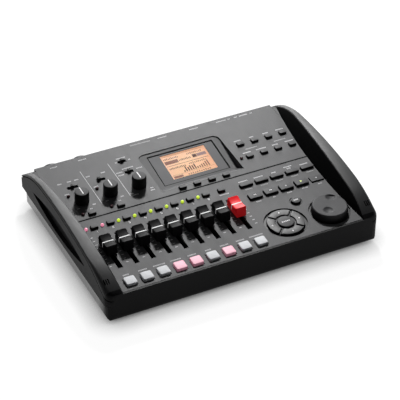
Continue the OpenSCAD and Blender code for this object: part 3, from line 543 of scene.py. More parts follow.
def set_camera():
    ahead = math.cos(VIEW_RISE)
    toward = Vector((math.sin(VIEW_TURN) * ahead, -math.cos(VIEW_TURN) * ahead, math.sin(VIEW_RISE)))
    lens = bpy.data.cameras.new("studio_camera")
    lens.lens, lens.sensor_width = LENS, SENSOR
    lens.clip_start, lens.clip_end = 0.05, 50.0
    camera = bpy.data.objects.new("studio_camera", lens)
    camera.location = VIEW_TARGET + VIEW_AWAY * toward
    camera.rotation_euler = toward.to_track_quat("Z", "Y").to_euler()
    scene.collection.objects.link(camera)
    scene.camera = camera


set_camera()


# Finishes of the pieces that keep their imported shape

def paint(name, material):
    holder = nodes[name]
    holder.data.materials.clear()
    holder.data.materials.append(material)


for names, material in (
        (("control_panel",), PANEL_GREY),
        (("lower_case", "battery_cover"), CASE_BLACK),
        (("lcd_module",), MASK_BLACK),
        (("control_board", "main_board"), BOARD_LACQUER),
        (("combo_jacks",), SOCKET_BLACK),
        # The fader tracks are painted near black: painted shade of the slots
        (("fader_tracks",), PAINTED_SHADE_BLACK),
        (("rear_sockets", "rotary_bodies", "microphones", "battery_contacts", "case_screws"), STEEL),
        (("rubber_feet",), FOOT_RUBBER)):
    for name in names:
        paint(name, material)


# Side rails, drawn as sections across their length

RAIL_FOOT_X, RAIL_OUT_X = 118.15, 128.5
SEAM_Z = 19.0
RAIL_FRONT, RAIL_REAR = -95.0, 95.0
FRONT_CORNER, REAR_CORNER = 6.0, 2.0
SUMMIT_Y, SUMMIT_Z = 20.0, 51.0
BOW_R, BOW_FRONT_R, BOW_REAR_R = 430.0, 95.0, 87.0
BOW_FRONT_RUN, BOW_REAR_RUN = 83.0, 25.0
INNER_R, INNER_X, INNER_Y, INNER_LEAN = 606.0, 110.8, -23.0, 0.449
# Rounded edges of the crest; the outer one widens towards the nose, where the crest sinks under the panel
INNER_EDGE, INNER_STEPS, CREST_IN = 0.9, 4, 0.1
OUTER_EDGE, NOSE_EDGE, NOSE_Y, NOSE_RUN, EDGE_STEPS = 1.5, 3.5, -55.0, 30.0, 6
NOSE_STEP, NOSE_RINGS = 0.02, 6
# Shadow groove under the outer edge, and the bevel along the seam
GROOVE_IN, GROOVE_FROM, GROOVE_TO, GROOVE_END = 1.0, 0.1, 1.05, 1.2
SEAM_BEVEL = 0.5
# Lens-shaped finger grip; its shape is given as (share of half the height, share of the depth)
GRIP_Y, GRIP_Z, GRIP_L, GRIP_H, GRIP_DEPTH, GRIP_RAMP = 7.5, 31.3, 58.0, 7.4, 3.4, 1.6
GRIP_SHAPE = ((1, 0), (0.97, 0.6), (0.9, 0.95), (0.6, 1), (0, 1),
              (-0.6, 1), (-0.9, 0.95), (-0.97, 0.6), (-1, 0))
GRIP_TIP = (0.3, 0.8, 1.5)
CORNER_STOPS, FRONT_STOPS, GRIP_STOPS, REAR_STOPS = 8, 20, 40, 16
SHUT_H, SHUT_GAP = 0.02, 1.6
VENT_X, VENT_Y, VENT_PITCH = 122.7, -83.0, 1.8
VENT_LOW, VENT_HIGH = (-0.5, -2.6, -2.2), (0.5, 2.6, 2.0)


def crest(y):
    """Height of a rail's crest, on its three tangent arcs."""
    run = y - SUMMIT_Y
    join = max(-BOW_FRONT_RUN, min(run, BOW_REAR_RUN))
    r = BOW_R if join == run else BOW_FRONT_R if run < 0 else BOW_REAR_R
    lean = math.asin(join / BOW_R) if r != BOW_R else 0.0
    across = run - (BOW_R - r) * math.sin(lean)
    return SUMMIT_Z - BOW_R + (BOW_R - r) * math.cos(lean) + math.sqrt(r * r - across * across)


def corner_inset(y):
    """How far the upright corners draw the outer wall in near a rail's ends."""
    for gap, r in ((y - RAIL_FRONT, FRONT_CORNER), (RAIL_REAR - y, REAR_CORNER)):
        if gap < r:
            return r - math.sqrt(r * r - (r - gap) ** 2)
    return 0.0


def inner_wall(y, z):
    """Place across of the leaning, curved wall towards the panel."""
    r = INNER_R + INNER_LEAN * (PANEL_Z - z)
    return INNER_X + INNER_R - math.sqrt(r * r - (y - INNER_Y) ** 2)


def grip_section(y, out, line):
    """The finger grip at depth y, or the same points shut to a thin line beyond its tips."""
    away = abs(y - GRIP_Y)
    if away > GRIP_L:
        shut = min(GRIP_Z, line - SHUT_GAP)
        return [(out, shut + SHUT_H * share) for share, _ in GRIP_SHAPE]
    bow = (GRIP_L ** 2 + GRIP_H ** 2) / (2 * GRIP_H)
    half = math.sqrt(bow * bow - away * away) - bow + GRIP_H
    depth = GRIP_DEPTH * min(1.0, half / GRIP_RAMP)
    return [(out - depth * sink, GRIP_Z + half * share) for share, sink in GRIP_SHAPE]


def rail_section(y):
    """Outline of the right rail across its length at depth y, as (x, z)."""
    top, face = crest(y), PANEL_Z + y * math.tan(RAKE)
    out = RAIL_OUT_X - corner_inset(y)
    low = SEAM_Z + max(0.0, y - RAIL_REAR + REAR_CORNER) ** 2 / (2 * REAR_CORNER)
    soft = min(INNER_EDGE, (top - face) / 2)
    edge = OUTER_EDGE + NOSE_EDGE * max(0.0, min(1.0, (NOSE_Y - y) / NOSE_RUN))
    if soft > 0:
        foot, shoulder = inner_wall(y, face), inner_wall(y, top - soft)
    else:
        face, soft = top - NOSE_STEP, NOSE_STEP / 2
        foot = shoulder = RAIL_FOOT_X
    points = [(RAIL_FOOT_X, low), (RAIL_FOOT_X, face), (foot, face), (shoulder, top - soft)]
    for k in range(1, INNER_STEPS + 1):
        a = math.radians(90 * k / INNER_STEPS)
        points.append((shoulder + soft * (1 - math.cos(a)) + CREST_IN, top - soft + soft * math.sin(a)))
    for turn in spread(90, 0, EDGE_STEPS):
        a = math.radians(turn)
        points.append((out - edge * (1 - math.cos(a)), top - edge * (1 - math.sin(a))))
    line = top - edge
    deep = out - GROOVE_IN
    points += [(deep, line - GROOVE_FROM), (deep, line - GROOVE_TO), (out, line - GROOVE_END)]
    points += grip_section(y, out, line)
    return points + [(out, low + SEAM_BEVEL), (out - SEAM_BEVEL, low)]


def carved(piece, cutters):
    """The piece's mesh with the cutters' volume taken out."""
    tool = Piece(piece.name + "_cutter")
    for place, low, high in cutters:
        tool.box(place, low, high, RAIL_PAINTED_SHADE)
    holders = [bpy.data.objects.new(part.name, part.mesh(CARVE_MERGE)) for part in (piece, tool)]
    for holder in holders:
        scene.collection.objects.link(holder)
    body, knife = holders
    cut = body.modifiers.new("carve", "BOOLEAN")
    cut.operation, cut.solver, cut.object = "DIFFERENCE", "EXACT", knife
    result = evaluated(body)
    for holder in holders:
        bpy.data.objects.remove(holder)
    return result


def rail_stops():
    """Depths of the rail's sections, close together at its corners and at the grip's tips."""
    quarter = [1 - math.cos(math.radians(turn)) for turn in spread(0, 90, CORNER_STOPS)]
    front, rear = RAIL_FRONT + FRONT_CORNER, RAIL_REAR - REAR_CORNER
    tip, far_tip = GRIP_Y - GRIP_L, GRIP_Y + GRIP_L
    stops = [RAIL_FRONT + FRONT_CORNER * s for s in quarter] + [RAIL_REAR - REAR_CORNER * s for s in quarter]
    stops += spread(front, tip, FRONT_STOPS) + spread(tip, far_tip, GRIP_STOPS)
    stops += spread(far_tip, rear, REAR_STOPS)
    stops += [tip + s for s in GRIP_TIP] + [far_tip - s for s in GRIP_TIP]
    return sorted({round(y, 4) for y in stops})


def side_rail(side, name):
    """One rail; a strip of its skin is numbered by the section's point that it starts from."""
    rail = Piece(name)
    line_from = 3 + INNER_STEPS + EDGE_STEPS + 1
    grip_from = line_from + 4
    grip_to = grip_from + len(GRIP_SHAPE) - 1
    strips = {1: PANEL_GREY, grip_from - 1: RAIL_FLANK, grip_to: RAIL_FLANK}
    # The inner wall above the panel and the wall hidden under it are painted shade
    strips.update({i: RAIL_PAINTED_SHADE for i in (0, 2)})
    # The groove under the outer edge and the grip recess are darkened as painted shade
    strips.update({i: GRIP_AND_RECESS_SHADE for i in range(line_from, line_from + 3)})
    strips.update({i: GRIP_AND_RECESS_SHADE for i in range(grip_from, grip_to)})
    # The vents' insides take this first finish, painted shade
    rail.look(RAIL_PAINTED_SHADE)  # first finish, so that the cut vents take it
    rings = [[(side * x, y, z) for x, z in rail_section(y)] for y in rail_stops()]
    rail.loft(WORLD, rings, CASE_BLACK, RAIL_BLACK, NOSE_RINGS, strips)
    slope = math.atan2(crest(VENT_Y + 1) - crest(VENT_Y - 1), 2.0)
    vents = []
    for i in (-1, 0, 1):
        vent = Matrix.Translation((side * VENT_X, VENT_Y, crest(VENT_Y))) @ Matrix.Rotation(slope, 4, "X")
        vents.append((WORLD @ vent @ Matrix.Translation((VENT_PITCH * i, 0, 0)), VENT_LOW, VENT_HIGH))
    settle(name + "_shell", carved(rail, vents), "recorder", (name,), sharp=32.0)


side_rail(-1, "left_rail")
side_rail(1, "right_rail")


# Keys and pads

FLANGE, FLANGE_LOW, FLANGE_HIGH, FLANGE_BEVEL = 0.7, -3.7, -2.7, 0.1
KEY_H, RECORD_H, PAD_H, KEY_R, KEY_BEVEL = 2.1, 1.1, 2.3, 0.7, 0.35
SMALL_KEY, SOFT_KEY, FUNCTION_KEY, TRANSPORT_KEY = (6.5, 4.4), (6.5, 3.8), (12.3, 4.4), (12.3, 7.2)
TRACK_KEY_Y, FUNCTION_KEY_Y, SOFT_KEY_Y, TRANSPORT_Y = -8.1, -10.3, 9.5, -27.7
UTILITY_ROWS = (25.4, 44.4)
RUNNER_FRONT, RUNNER_REAR = 0.2, 1.4
KEY_TOP_FROM, ROUND_TOP_FROM = 3, 2
PAD, PAD_R, PAD_BEVEL, PAD_Y, LIT_PADS = (9.8, 9.8), 1.6, 0.7, -84.0, (4, 5, 7)
SYMBOL_Y, ARROW_R, PLAY_X, PLAY_R, STOP_HALF, RECORD_R = 0.4, 0.8, -0.2, 1.3, 0.7, 0.8
ARROWS_X = (-0.6, 0.7)
MARK_T = 0.04


def key_cap(piece, site, size, h, r=KEY_R, side=KEY_SIDE, top=KEY_TOP_PAINTED_SHEEN, bevel=KEY_BEVEL):
    place = on_panel(*site)
    w, d = size
    under = block(w + 2 * FLANGE, d + 2 * FLANGE, r, FLANGE_LOW, FLANGE_HIGH, FLANGE_BEVEL)
    piece.loft(place, under, side)
    piece.loft(place, block(w, d, r, FLANGE_HIGH, h, bevel), side, top, KEY_TOP_FROM)


def key_strip(node, rows, size):
    """Keys of one node, moulded on a thin runner under the panel."""
    strip = Piece(node + "_caps")
    for row in rows:
        for site in row:
            key_cap(strip, site, size, KEY_H)
        (first_x, y), last_x = row[0], row[-1][0]
        edge = y + size[1] / 2 + FLANGE
        low, high = (first_x, edge - RUNNER_FRONT, FLANGE_LOW), (last_x, edge + RUNNER_REAR, FLANGE_HIGH)
        strip.box(PANEL, low, high, KEY_SIDE)
    strip.done(node, (node,))


def triangle(piece, place, x, y, r, turn, z, material):
    corners = [turn + 2 * math.pi * k / 3 for k in range(3)]
    points = [(x + r * math.cos(a), y + r * math.sin(a)) for a in corners]
    piece.shape(place, points, z, z + MARK_T, material)


def transport_symbol(cap, place, node, z):
    if node == "back_key":
        for x in ARROWS_X:
            triangle(cap, place, -x, SYMBOL_Y, ARROW_R, math.pi, z, PRINT_WHITE)
    elif node == "forward_key":
        for x in ARROWS_X:
            triangle(cap, place, x, SYMBOL_Y, ARROW_R, 0.0, z, PRINT_WHITE)
    elif node == "stop_key":
        low = (-STOP_HALF, SYMBOL_Y - STOP_HALF, z)
        cap.box(place, low, (STOP_HALF, SYMBOL_Y + STOP_HALF, z + MARK_T), PRINT_SOFT)
    elif node == "play_key":
        triangle(cap, place, PLAY_X, SYMBOL_Y, PLAY_R, 0.0, z, PLAY_GLOW)
    else:
        spot = [(x, y + SYMBOL_Y) for x, y in circle(RECORD_R, SMALL_ROUND)]
        cap.shape(place, spot, z, z + MARK_T, PRINT_SOFT)


key_strip("track_keys", [[(x, TRACK_KEY_Y) for x in KEY_X]], SMALL_KEY)
key_strip("utility_keys", [[(x, y) for x in UTILITY_X] for y in UTILITY_ROWS], SMALL_KEY)
key_strip("function_keys", [[(x, FUNCTION_KEY_Y) for x in WIDE_X]], FUNCTION_KEY)
key_strip("soft_keys", [[(x, SOFT_KEY_Y) for x in SOFT_X]], SOFT_KEY)

for node, x in zip(("back_key", "forward_key", "stop_key", "play_key", "record_key"), WIDE_X):
    cap = Piece(node + "_cap")
    high = RECORD_H if node == "record_key" else KEY_H
    key_cap(cap, (x, TRANSPORT_Y), TRANSPORT_KEY, high)
    transport_symbol(cap, on_panel(x, TRANSPORT_Y), node, high)
    cap.done(node, (node,))

for number, x in enumerate(COLUMN_X, 1):
    node = "pad_%d" % number
    pad = Piece(node + "_cap")
    finish = PAD_LIT if number in LIT_PADS else PAD_PALE
    key_cap(pad, (x, PAD_Y), PAD, PAD_H, PAD_R, finish, finish, PAD_BEVEL)
    pad.done(node, (node,), sharp=50.0)


# Cursor keys, enter key and exit key

CURSOR_IN, CURSOR_OUT, CURSOR_GAP, CURSOR_H, CURSOR_BEVEL = 9.3, 16.4, 1.8, 1.0, 0.4
POINTER_OUT, POINTER_R = 12.9, 1.1
ENTER_R, ENTER_H, ENTER_WORD = 7.2, 1.6, 3.2
EXIT_R, EXIT_H, EXIT_WORD = 4.3, 2.0, 1.8
ROUND_BEVEL, WORD_BARS, WORD_BAR, WORD_HALF = 0.6, 5, 0.17, 0.65


def sector(inset):
    """Quarter of a ring, open by the gap to its neighbours."""
    half = CURSOR_GAP / 2 + inset
    points = []
    for r, way, steps in ((CURSOR_OUT - inset, 1, 14), (CURSOR_IN + inset, -1, 10)):
        reach = way * (math.radians(45) - math.asin(half / r))
        points += [(r * math.cos(a), r * math.sin(a)) for a in spread(-reach, reach, steps)]
    return points


def cursor_key(node, turn):
    cap = Piece(node + "_cap")
    place = on_panel(*CURSOR) @ Matrix.Rotation(math.radians(turn), 4, "Z")
    rings = rounded_stack(sector, FLANGE_LOW, CURSOR_H, CURSOR_BEVEL)
    cap.loft(place, rings, BLACK_AND_DISH_SHADE, SECTOR_TOP_PAINTED_SHEEN, ROUND_TOP_FROM)
    triangle(cap, place, POINTER_OUT, 0.0, POINTER_R, 0.0, CURSOR_H, PRINT_WHITE)
    cap.done(node, (node,))


def round_key(node, site, r, high, word):
    """Round key with a row of plain bars, word long to each side, in place of its word."""
    cap = Piece(node + "_cap")
    place = on_panel(*site)
    cap.loft(place, disc(r, FLANGE_LOW, high, ROUND_BEVEL), KEY_SIDE, KEY_TOP_PAINTED_SHEEN, ROUND_TOP_FROM)
    cap.loft(place, disc(r + FLANGE, FLANGE_LOW, FLANGE_HIGH, FLANGE_BEVEL), KEY_SIDE)
    half = word * WORD_BAR
    for x in spread(-word, word, WORD_BARS - 1):
        cap.box(place, (x - half, -WORD_HALF, high), (x + half, WORD_HALF, high + MARK_T), PRINT_WHITE)
    cap.done(node, (node,))


for quarter, node in enumerate(("cursor_right_key", "cursor_up_key", "cursor_left_key", "cursor_down_key")):
    cursor_key(node, 90 * quarter)
round_key("enter_key", CURSOR, ENTER_R, ENTER_H, ENTER_WORD)
round_key("exit_key", EXIT, EXIT_R, EXIT_H, EXIT_WORD)


# Faders

CAP_LOW, CAP_MIDDLE, CAP_TOP, CAP_NARROWING = 0.8, 5.0, 10.1, 9.0
CREST_Y, SADDLE_HALF, SADDLE_DIP, SADDLE_STEPS = 8.3, 7.4, 1.7, 16
SADDLE_FLOOR = CAP_TOP - SADDLE_DIP
CAP_END = ((9.6, CAP_LOW), (8.55, 9.1), (8.36, 9.65), (8.0, 9.95))
# Place across of each of the cap's sections, and how far its rounded side draws it in
CAP_EDGE = ((-5.0, 1.0), (-4.8, 0.5), (-4.4, 0.16), (-3.9, 0.0),
            (3.9, 0.0), (4.4, 0.16), (4.8, 0.5), (5.0, 1.0))
LINE_X, LINE_HALF, LINE_SUNK, LINE_PROUD = 4.6, 0.45, 0.3, 0.06
# Strokes of the line down each side, as place across, foot and head
STROKES, STROKE_HALF = ((4.62, 7.5, SADDLE_FLOOR - 0.08), (4.8, 3.6, 7.8)), 0.23
LEVER_X, LEVER_Y, LEVER_LOW, LEVER_IN = 0.6, 1.4, -5.8, 0.5


def fader_profile():
    """Side view of a fader cap as (y, z): two crests with a saddle between them."""
    bow = (CREST_Y ** 2 + SADDLE_DIP ** 2) / (2 * SADDLE_DIP)
    saddle = []
    for y in spread(SADDLE_HALF, -SADDLE_HALF, SADDLE_STEPS):
        saddle.append((y, SADDLE_FLOOR + bow - math.sqrt(bow * bow - y * y)))
    return [*CAP_END, *saddle, *((-y, z) for y, z in reversed(CAP_END))]


def fader(node, x, material):
    cap = Piece(node + "_cap")
    place = on_panel(x, FADER_Y)
    rings = []
    for across, inset in CAP_EDGE:
        narrow, low = 1 - inset / CAP_NARROWING, 1 - inset / CAP_MIDDLE
        rings.append([(across, y * narrow, CAP_MIDDLE + (z - CAP_MIDDLE) * low) for y, z in fader_profile()])
    cap.loft(place, rings, material)
    low = (-LINE_X, -LINE_HALF, SADDLE_FLOOR - LINE_SUNK)
    cap.box(place, low, (LINE_X, LINE_HALF, SADDLE_FLOOR + LINE_PROUD), FADER_LINE)
    for side in (-1, 1):
        for across, foot, head in STROKES:
            middle = side * across
            low, high = (middle - STROKE_HALF, -LINE_HALF, foot), (middle + STROKE_HALF, LINE_HALF, head)
            cap.box(place, low, high, FADER_LINE)
    cap.box(place, (-LEVER_X, -LEVER_Y, LEVER_LOW), (LEVER_X, LEVER_Y, CAP_LOW + LEVER_IN), STEEL)
    cap.done(node, (node,), merge=MERGE)


for number, x in enumerate(COLUMN_X[:8], 1):
    fader("fader_%d" % number, x, FADER_BLACK)
fader("master_fader", COLUMN_X[8], FADER_RED)


# Knobs and jog dial; rings are given as radius, height and ripple of the fluting

KNOB_SITES = (("input_1_knob", -97.2, 28.5), ("input_2_knob", -70.2, 28.5), ("level_knob", -43.0, 28.2))
KNOB_RINGS = ((6.45, 0.5, 0), (6.45, 2.2, 0), (6.15, 2.45, 0), (6.15, 2.8, 0), (6.38, 3.05, 0.07),
              (6.36, 9.4, 0.07), (6.3, 10.6, 0.03), (6.1, 11.2, 0), (5.75, 11.46, 0), (5.5, 11.5, 0))
KNOB_FLUTES, KNOB_TOP_FROM = 36, 7
KNOB_LINE = ((-0.5, -3.5, 11.45), (0.5, 5.2, 11.56))
SHAFT_R, SHAFT_LOW, KNOB_SHAFT_TOP, DIAL_SHAFT_TOP, SHAFT_BEVEL = 3.0, -5.5, 0.6, -0.9, 0.1
DIAL_RINGS = ((16.2, -1.0, 0), (16.05, 0.6, 0.06), (15.7, 4.9, 0.06), (15.5, 5.6, 0), (15.1, 6.1, 0),
              (14.6, 6.29, 0))
DIAL_FLUTES, DIAL_TOP_FROM = 48, 3
FACE_R, FACE_IN, FACE_RINGS, FACE_HOLLOW = 14.6, 14.4, 37, 0.25
DIAL_H, DIMPLE_R, DIMPLE_SINK = 6.3, 9.0, 1.3
DIMPLES = ((6.1, 9.4), (-4.4, -5.2))


def fluted(rings, flutes):
    return [[(x, y, z) for x, y in circle(r, ROUND, ripple, flutes)] for r, z, ripple in rings]


def rotary_knob(node, x, y):
    knob = Piece(node + "_cap")
    place = on_panel(x, y)
    knob.loft(place, fluted(KNOB_RINGS, KNOB_FLUTES), KNOB_SIDE, KNOB_TOP_PAINTED_SHEEN, KNOB_TOP_FROM)
    knob.box(place, *KNOB_LINE, PRINT_WHITE)
    knob.loft(place, disc(SHAFT_R, SHAFT_LOW, KNOB_SHAFT_TOP, SHAFT_BEVEL, SHAFT_ROUND), STEEL)
    knob.done(node, (node,))


def dial_face(x, y):
    """Height of the jog dial's face, with its two finger dimples."""
    high = DIAL_H - FACE_HOLLOW * (1 - math.hypot(x, y) / FACE_R)
    for cx, cy in DIMPLES:
        apart = math.hypot(x - cx, y - cy)
        if apart < DIMPLE_R:
            high = min(high, DIAL_H + DIMPLE_R - DIMPLE_SINK - math.sqrt(DIMPLE_R ** 2 - apart ** 2))
    return high


def jog_dial():
    dial = Piece("jog_dial_cap")
    place = on_panel(*DIAL)
    rings = fluted(DIAL_RINGS, DIAL_FLUTES)
    for k in range(FACE_RINGS):
        rings.append([(x, y, dial_face(x, y)) for x, y in circle(FACE_IN * (1 - k / FACE_RINGS), ROUND)])
    dial.loft(place, rings, KNOB_SIDE, DIAL_TOP_PAINTED_SHEEN, DIAL_TOP_FROM)
    dial.loft(place, disc(SHAFT_R, SHAFT_LOW, DIAL_SHAFT_TOP, SHAFT_BEVEL, SHAFT_ROUND), STEEL)
    dial.done("jog_dial", ("jog_dial",), sharp=50.0)


for knob_facts in KNOB_SITES:
    rotary_knob(*knob_facts)
jog_dial()


# Slide switches

SWITCHES = (("input_1_switch", -97.0, 50.0), ("input_2_switch", -72.0, 50.0),
            ("front_switch", -42.8, 50.0), ("rear_switch", -42.8, 66.0))
SLIDER, SLIDER_R, SLIDER_LOW, SLIDER_HIGH, SLIDER_BEVEL = 3.0, 0.4, -4.0, 2.7, 0.3
RIB_PITCH, RIB_W, RIB_D, RIB_R, RIB_LOW, RIB_HIGH, RIB_BEVEL = 0.85, 0.4, 2.6, 0.15, 2.6, 3.0, 0.12

for node, x, y in SWITCHES:
    slider = Piece(node + "_button")
    stem = block(SLIDER, SLIDER, SLIDER_R, SLIDER_LOW, SLIDER_HIGH, SLIDER_BEVEL)
    slider.loft(on_panel(x, y), stem, KNOB_SIDE)
    for k in (-1, 0, 1):
        rib = block(RIB_W, RIB_D, RIB_R, RIB_LOW, RIB_HIGH, RIB_BEVEL)
        slider.loft(on_panel(x + RIB_PITCH * k, y), rib, KNOB_SIDE)
    slider.done(node, (node,))


# Rear side

JACK_X, JACK_Z, JACK_FACE_Y = (-100.8, -72.3), 23.5, 93.0
CONTACT_R, CONTACT_RING, CONTACT_RIM = 1.4, 6.1, 0.2
# Rim of a contact hole as (radius, height), and the latch in the sizes that block takes
CONTACT_HOLE = ((CONTACT_R, 0.0), (CONTACT_R + 0.4, 0.0),
                (CONTACT_R + 0.3, CONTACT_RIM), (CONTACT_R, CONTACT_RIM))
LATCH_Y, LATCH = -7.2, (3.6, 2.0, 0.5, 0.0, 1.2, 0.3)
BUTTON_R, BUTTON_BEVEL = 0.3, 0.15
RIDGE, RIDGE_ROOT, RIDGE_W, RIDGE_SHORT, RIDGE_APART = 0.4, 0.1, 0.6, 0.4, 0.3
FACING_REAR = Matrix.Rotation(math.radians(-90), 4, "X")


def jack_faces():
    """Three contact holes and a release latch on the face of each round input jack."""
    face = Piece("jack_faces")
    for x in JACK_X:
        place = WORLD @ Matrix.Translation((x, JACK_FACE_Y, JACK_Z)) @ FACING_REAR
        for turn in (90, 210, 330):
            a = math.radians(turn)
            hole = place @ Matrix.Translation((CONTACT_RING * math.cos(a), CONTACT_RING * math.sin(a), 0))
            # Each contact hole is a flat near-black disc, painted shade of its depth, under a raised rim
            face.loft(hole, disc(CONTACT_R, 0.0, MARK_T, MARK_T / 2, SMALL_ROUND), PAINTED_SHADE_BLACK)
            revolve(face, hole, CONTACT_HOLE, SOCKET_BLACK, SMALL_ROUND)
        face.loft(place @ Matrix.Translation((0, LATCH_Y, 0)), block(*LATCH), SOCKET_BLACK)
    face.done("recorder", merge=MERGE)


def power_switch():
    """Sliding button of the power switch, ridged for a fingertip."""
    low, high = (Vector(corner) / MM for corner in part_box("power_switch"))
    width, deep, tall = high - low
    place = WORLD @ Matrix.Translation(((low.x + high.x) / 2, high.y, (low.z + high.z) / 2)) @ FACING_REAR
    button = Piece("power_switch_button")
    button.loft(place, block(width, tall, BUTTON_R, -deep, -RIDGE, BUTTON_BEVEL), KNOB_SIDE)
    for k in (-1, 0, 1):
        ridge = block(RIDGE_W, tall - RIDGE_SHORT, RIB_R, -RIDGE - RIDGE_ROOT, 0.0, RIB_BEVEL)
        button.loft(place @ Matrix.Translation((k * width * RIDGE_APART, 0, 0)), ridge, KNOB_SIDE)
    button.done("power_switch", ("power_switch",))


jack_faces()
power_switch()


# Indicator lamps

LAMP_R, LAMP_Z, LAMP_LEFT, TRACK_LAMP_Y = 1.5, 0.5, 7.2, -8.4
TRACK_LAMPS = [(x - LAMP_LEFT, TRACK_LAMP_Y, LAMP_Z) for x in COLUMN_X[:8]]
OTHER_LAMPS = [(-105.5, 39.3, LAMP_Z), (-78.4, 39.3, LAMP_Z), (-103.5, 11.3, LAMP_Z), (-76.7, 11.3, LAMP_Z),
               (56.5, 25.4, LAMP_Z)]

for name, sites, material, hides in (("lamps_green", TRACK_LAMPS[2:], LAMP_GREEN, ("indicator_leds",)),
                                     ("lamps_pink", TRACK_LAMPS[:2], LAMP_PINK, ()),
                                     ("lamps_dark", OTHER_LAMPS, LAMP_DARK, ())):
    domes = repeat(name, PANEL, sites, {"Radius": LAMP_R}, dome_stamp, material)
    settle(name, domes, "recorder", hides, sharp=60.0)


# Display: a generic level meter under a clear window with a printed frame

WINDOW_HW, WINDOW_HD, WINDOW_TOP, WINDOW_LOW = 32.5, 19.4, -0.6, -1.6
# Width and sink of the near-black rim round the window, which is painted shade of the gap
SHADE_RIM, SHADE_RIM_SUNK, PRINT_T, PANE_GAP = 1.0, 0.02, 0.15, 0.03
GLASS_HOLE = (LCD_X - LCD_W / 2, LCD_Y - LCD_D / 2, LCD_X + LCD_W / 2, LCD_Y + LCD_D / 2)
# The lit sheet in the sizes that block takes
SHEET_Z, SHEET_T = -2.4, 0.1
SHEET = (LCD_W + 4, LCD_D + 3, 0.4, 0.0, SHEET_T, 0.04)
# Blocks and lines, as two corners and a finish
BLOCKS = ((-20.5, 4.4, -7.5, 8.6, DISPLAY_HALF), (7.0, 5.0, 11.0, 9.0, DISPLAY_INK),
          (11.4, 5.2, 20.5, 8.8, DISPLAY_MAUVE), (-20.0, -13.8, -11.0, -11.2, DISPLAY_HALF),
          (-20.5, 1.9, 20.5, 2.4, DISPLAY_HALF), (-20.5, 14.4, 20.5, 14.8, DISPLAY_SOFT),
          (-20.5, -10.2, 20.5, -9.9, DISPLAY_SOFT))
# Columns of the level meter
LEVELS = (1.8, 6.4, 4.6, 6.0, 5.4, 6.8, 2.6, 3.0, 4.0, 4.4, 6.2, 7.0)
LEVEL_X, LEVEL_Y, LEVEL_PITCH, LEVEL_W, DARK_LEVELS = -8.0, -9.0, 2.2, 1.25, 6
# Rows of small bars in place of words, as height, start, stop, step and finish
BAR_ROWS = ((11.2, -20.0, -4.0, 1.5, DISPLAY_HALF), (-1.4, -19.5, -3.0, 1.5, DISPLAY_HALF),
            (-0.6, 0.0, 19.0, 1.8, DISPLAY_SOFT), (-12.6, -6.0, 19.0, 2.1, DISPLAY_SOFT),
            (6.4, -6.5, 6.0, 1.5, DISPLAY_HALF), (11.4, 3.0, 19.0, 1.7, DISPLAY_SOFT))
BAR_LOW, BAR_HIGH, BAR_MORE, BAR_SHARE = 1.0, 0.6, 0.3, 0.6


def display_face():
    plate = Piece("display_face")
    place = WELL @ Matrix.Translation((LCD_X, LCD_Y, SHEET_Z))
    plate.loft(place, block(*SHEET), DISPLAY_GLOW)
    marks = list(BLOCKS)
    for k, high in enumerate(LEVELS):
        x = LEVEL_X + LEVEL_PITCH * k
        finish = DISPLAY_INK if k < DARK_LEVELS else DISPLAY_HALF
        marks.append((x, LEVEL_Y, x + LEVEL_W, LEVEL_Y + high, finish))
    for row, start, stop, step, finish in BAR_ROWS:
        for k in range(int((stop - start) / step)):
            x = start + step * k
            high = row + BAR_HIGH + BAR_MORE * (k % 3)
            marks.append((x, row - BAR_LOW, x + step * BAR_SHARE, high, finish))
    for x0, y0, x1, y1, finish in marks:
        plate.box(place, (x0, y0, SHEET_T), (x1, y1, SHEET_T + MARK_T), finish)
    plate.done("recorder")


def display_window():
    edge = (-WINDOW_HW, -WINDOW_HD, WINDOW_HW, WINDOW_HD)
    inside = tuple(c - math.copysign(SHADE_RIM, c) for c in edge)
    under = WINDOW_TOP - PRINT_T
    pane = Piece("window_pane")
    pane.box(WELL, (*edge[:2], WINDOW_LOW), (*edge[2:], under - PANE_GAP), WINDOW_CLEAR)
    pane.done("recorder", ("display_window",))
    mask = Piece("window_mask")
    # Near-black rim round the printed frame: painted shade of the gap round the window
    surround(mask, WELL, edge, inside, under, WINDOW_TOP - SHADE_RIM_SUNK, PAINTED_SHADE_BLACK)
    surround(mask, WELL, inside, GLASS_HOLE, under, WINDOW_TOP, MASK_GREY)
    mask.done("recorder")


display_face()
display_window()


# Painted shade: dark sheets in the round dishes, and in and along the groove across the panel

# Each dish as its middle, inner radius, outer radius and floor
DISHES = ((CURSOR, 16.75, 19.28, -1.5), (DIAL, 4.3, 18.48, -1.5), (EXIT, 4.65, 5.98, -0.8))
SHADE_SHEET_UP, SHADE_SHEET_T, SHADE_SHEET_TOP, SHADE_SHEET_LIP, SHADE_SHEET_FOOT = 0.01, 0.08, -0.02, 0.12, 0.2
PANEL_HW, GROOVE_Y, GROOVE_HALF, GROOVE_FLOOR = 117.8, 4.2, 0.44, -0.58
BAND_HALF, BAND_T = 0.8, 0.03

shade_sheets = Piece("dish_linings")
for site, inside, outside, floor in DISHES:
    low, high = floor + SHADE_SHEET_UP, floor + SHADE_SHEET_T
    cup = ((inside, low), (outside, low), (outside, SHADE_SHEET_TOP), (outside - SHADE_SHEET_LIP, SHADE_SHEET_TOP),
           (outside - SHADE_SHEET_FOOT, high), (inside, high))
    revolve(shade_sheets, on_panel(*site), cup, BLACK_AND_DISH_SHADE)
# Near black fills the groove, and a wider band over the panel runs along it: painted shade of the groove
for half, low, high in ((GROOVE_HALF, GROOVE_FLOOR, 0.0), (BAND_HALF, 0.0, BAND_T)):
    shade_sheets.box(PANEL, (-PANEL_HW, GROOVE_Y - half, low), (PANEL_HW, GROOVE_Y + half, high), PAINTED_SHADE_BLACK)
shade_sheets.done("recorder", merge=MERGE)


# Printed marks: plain bars in place of words, numbers for the tracks, level ticks and dividing lines

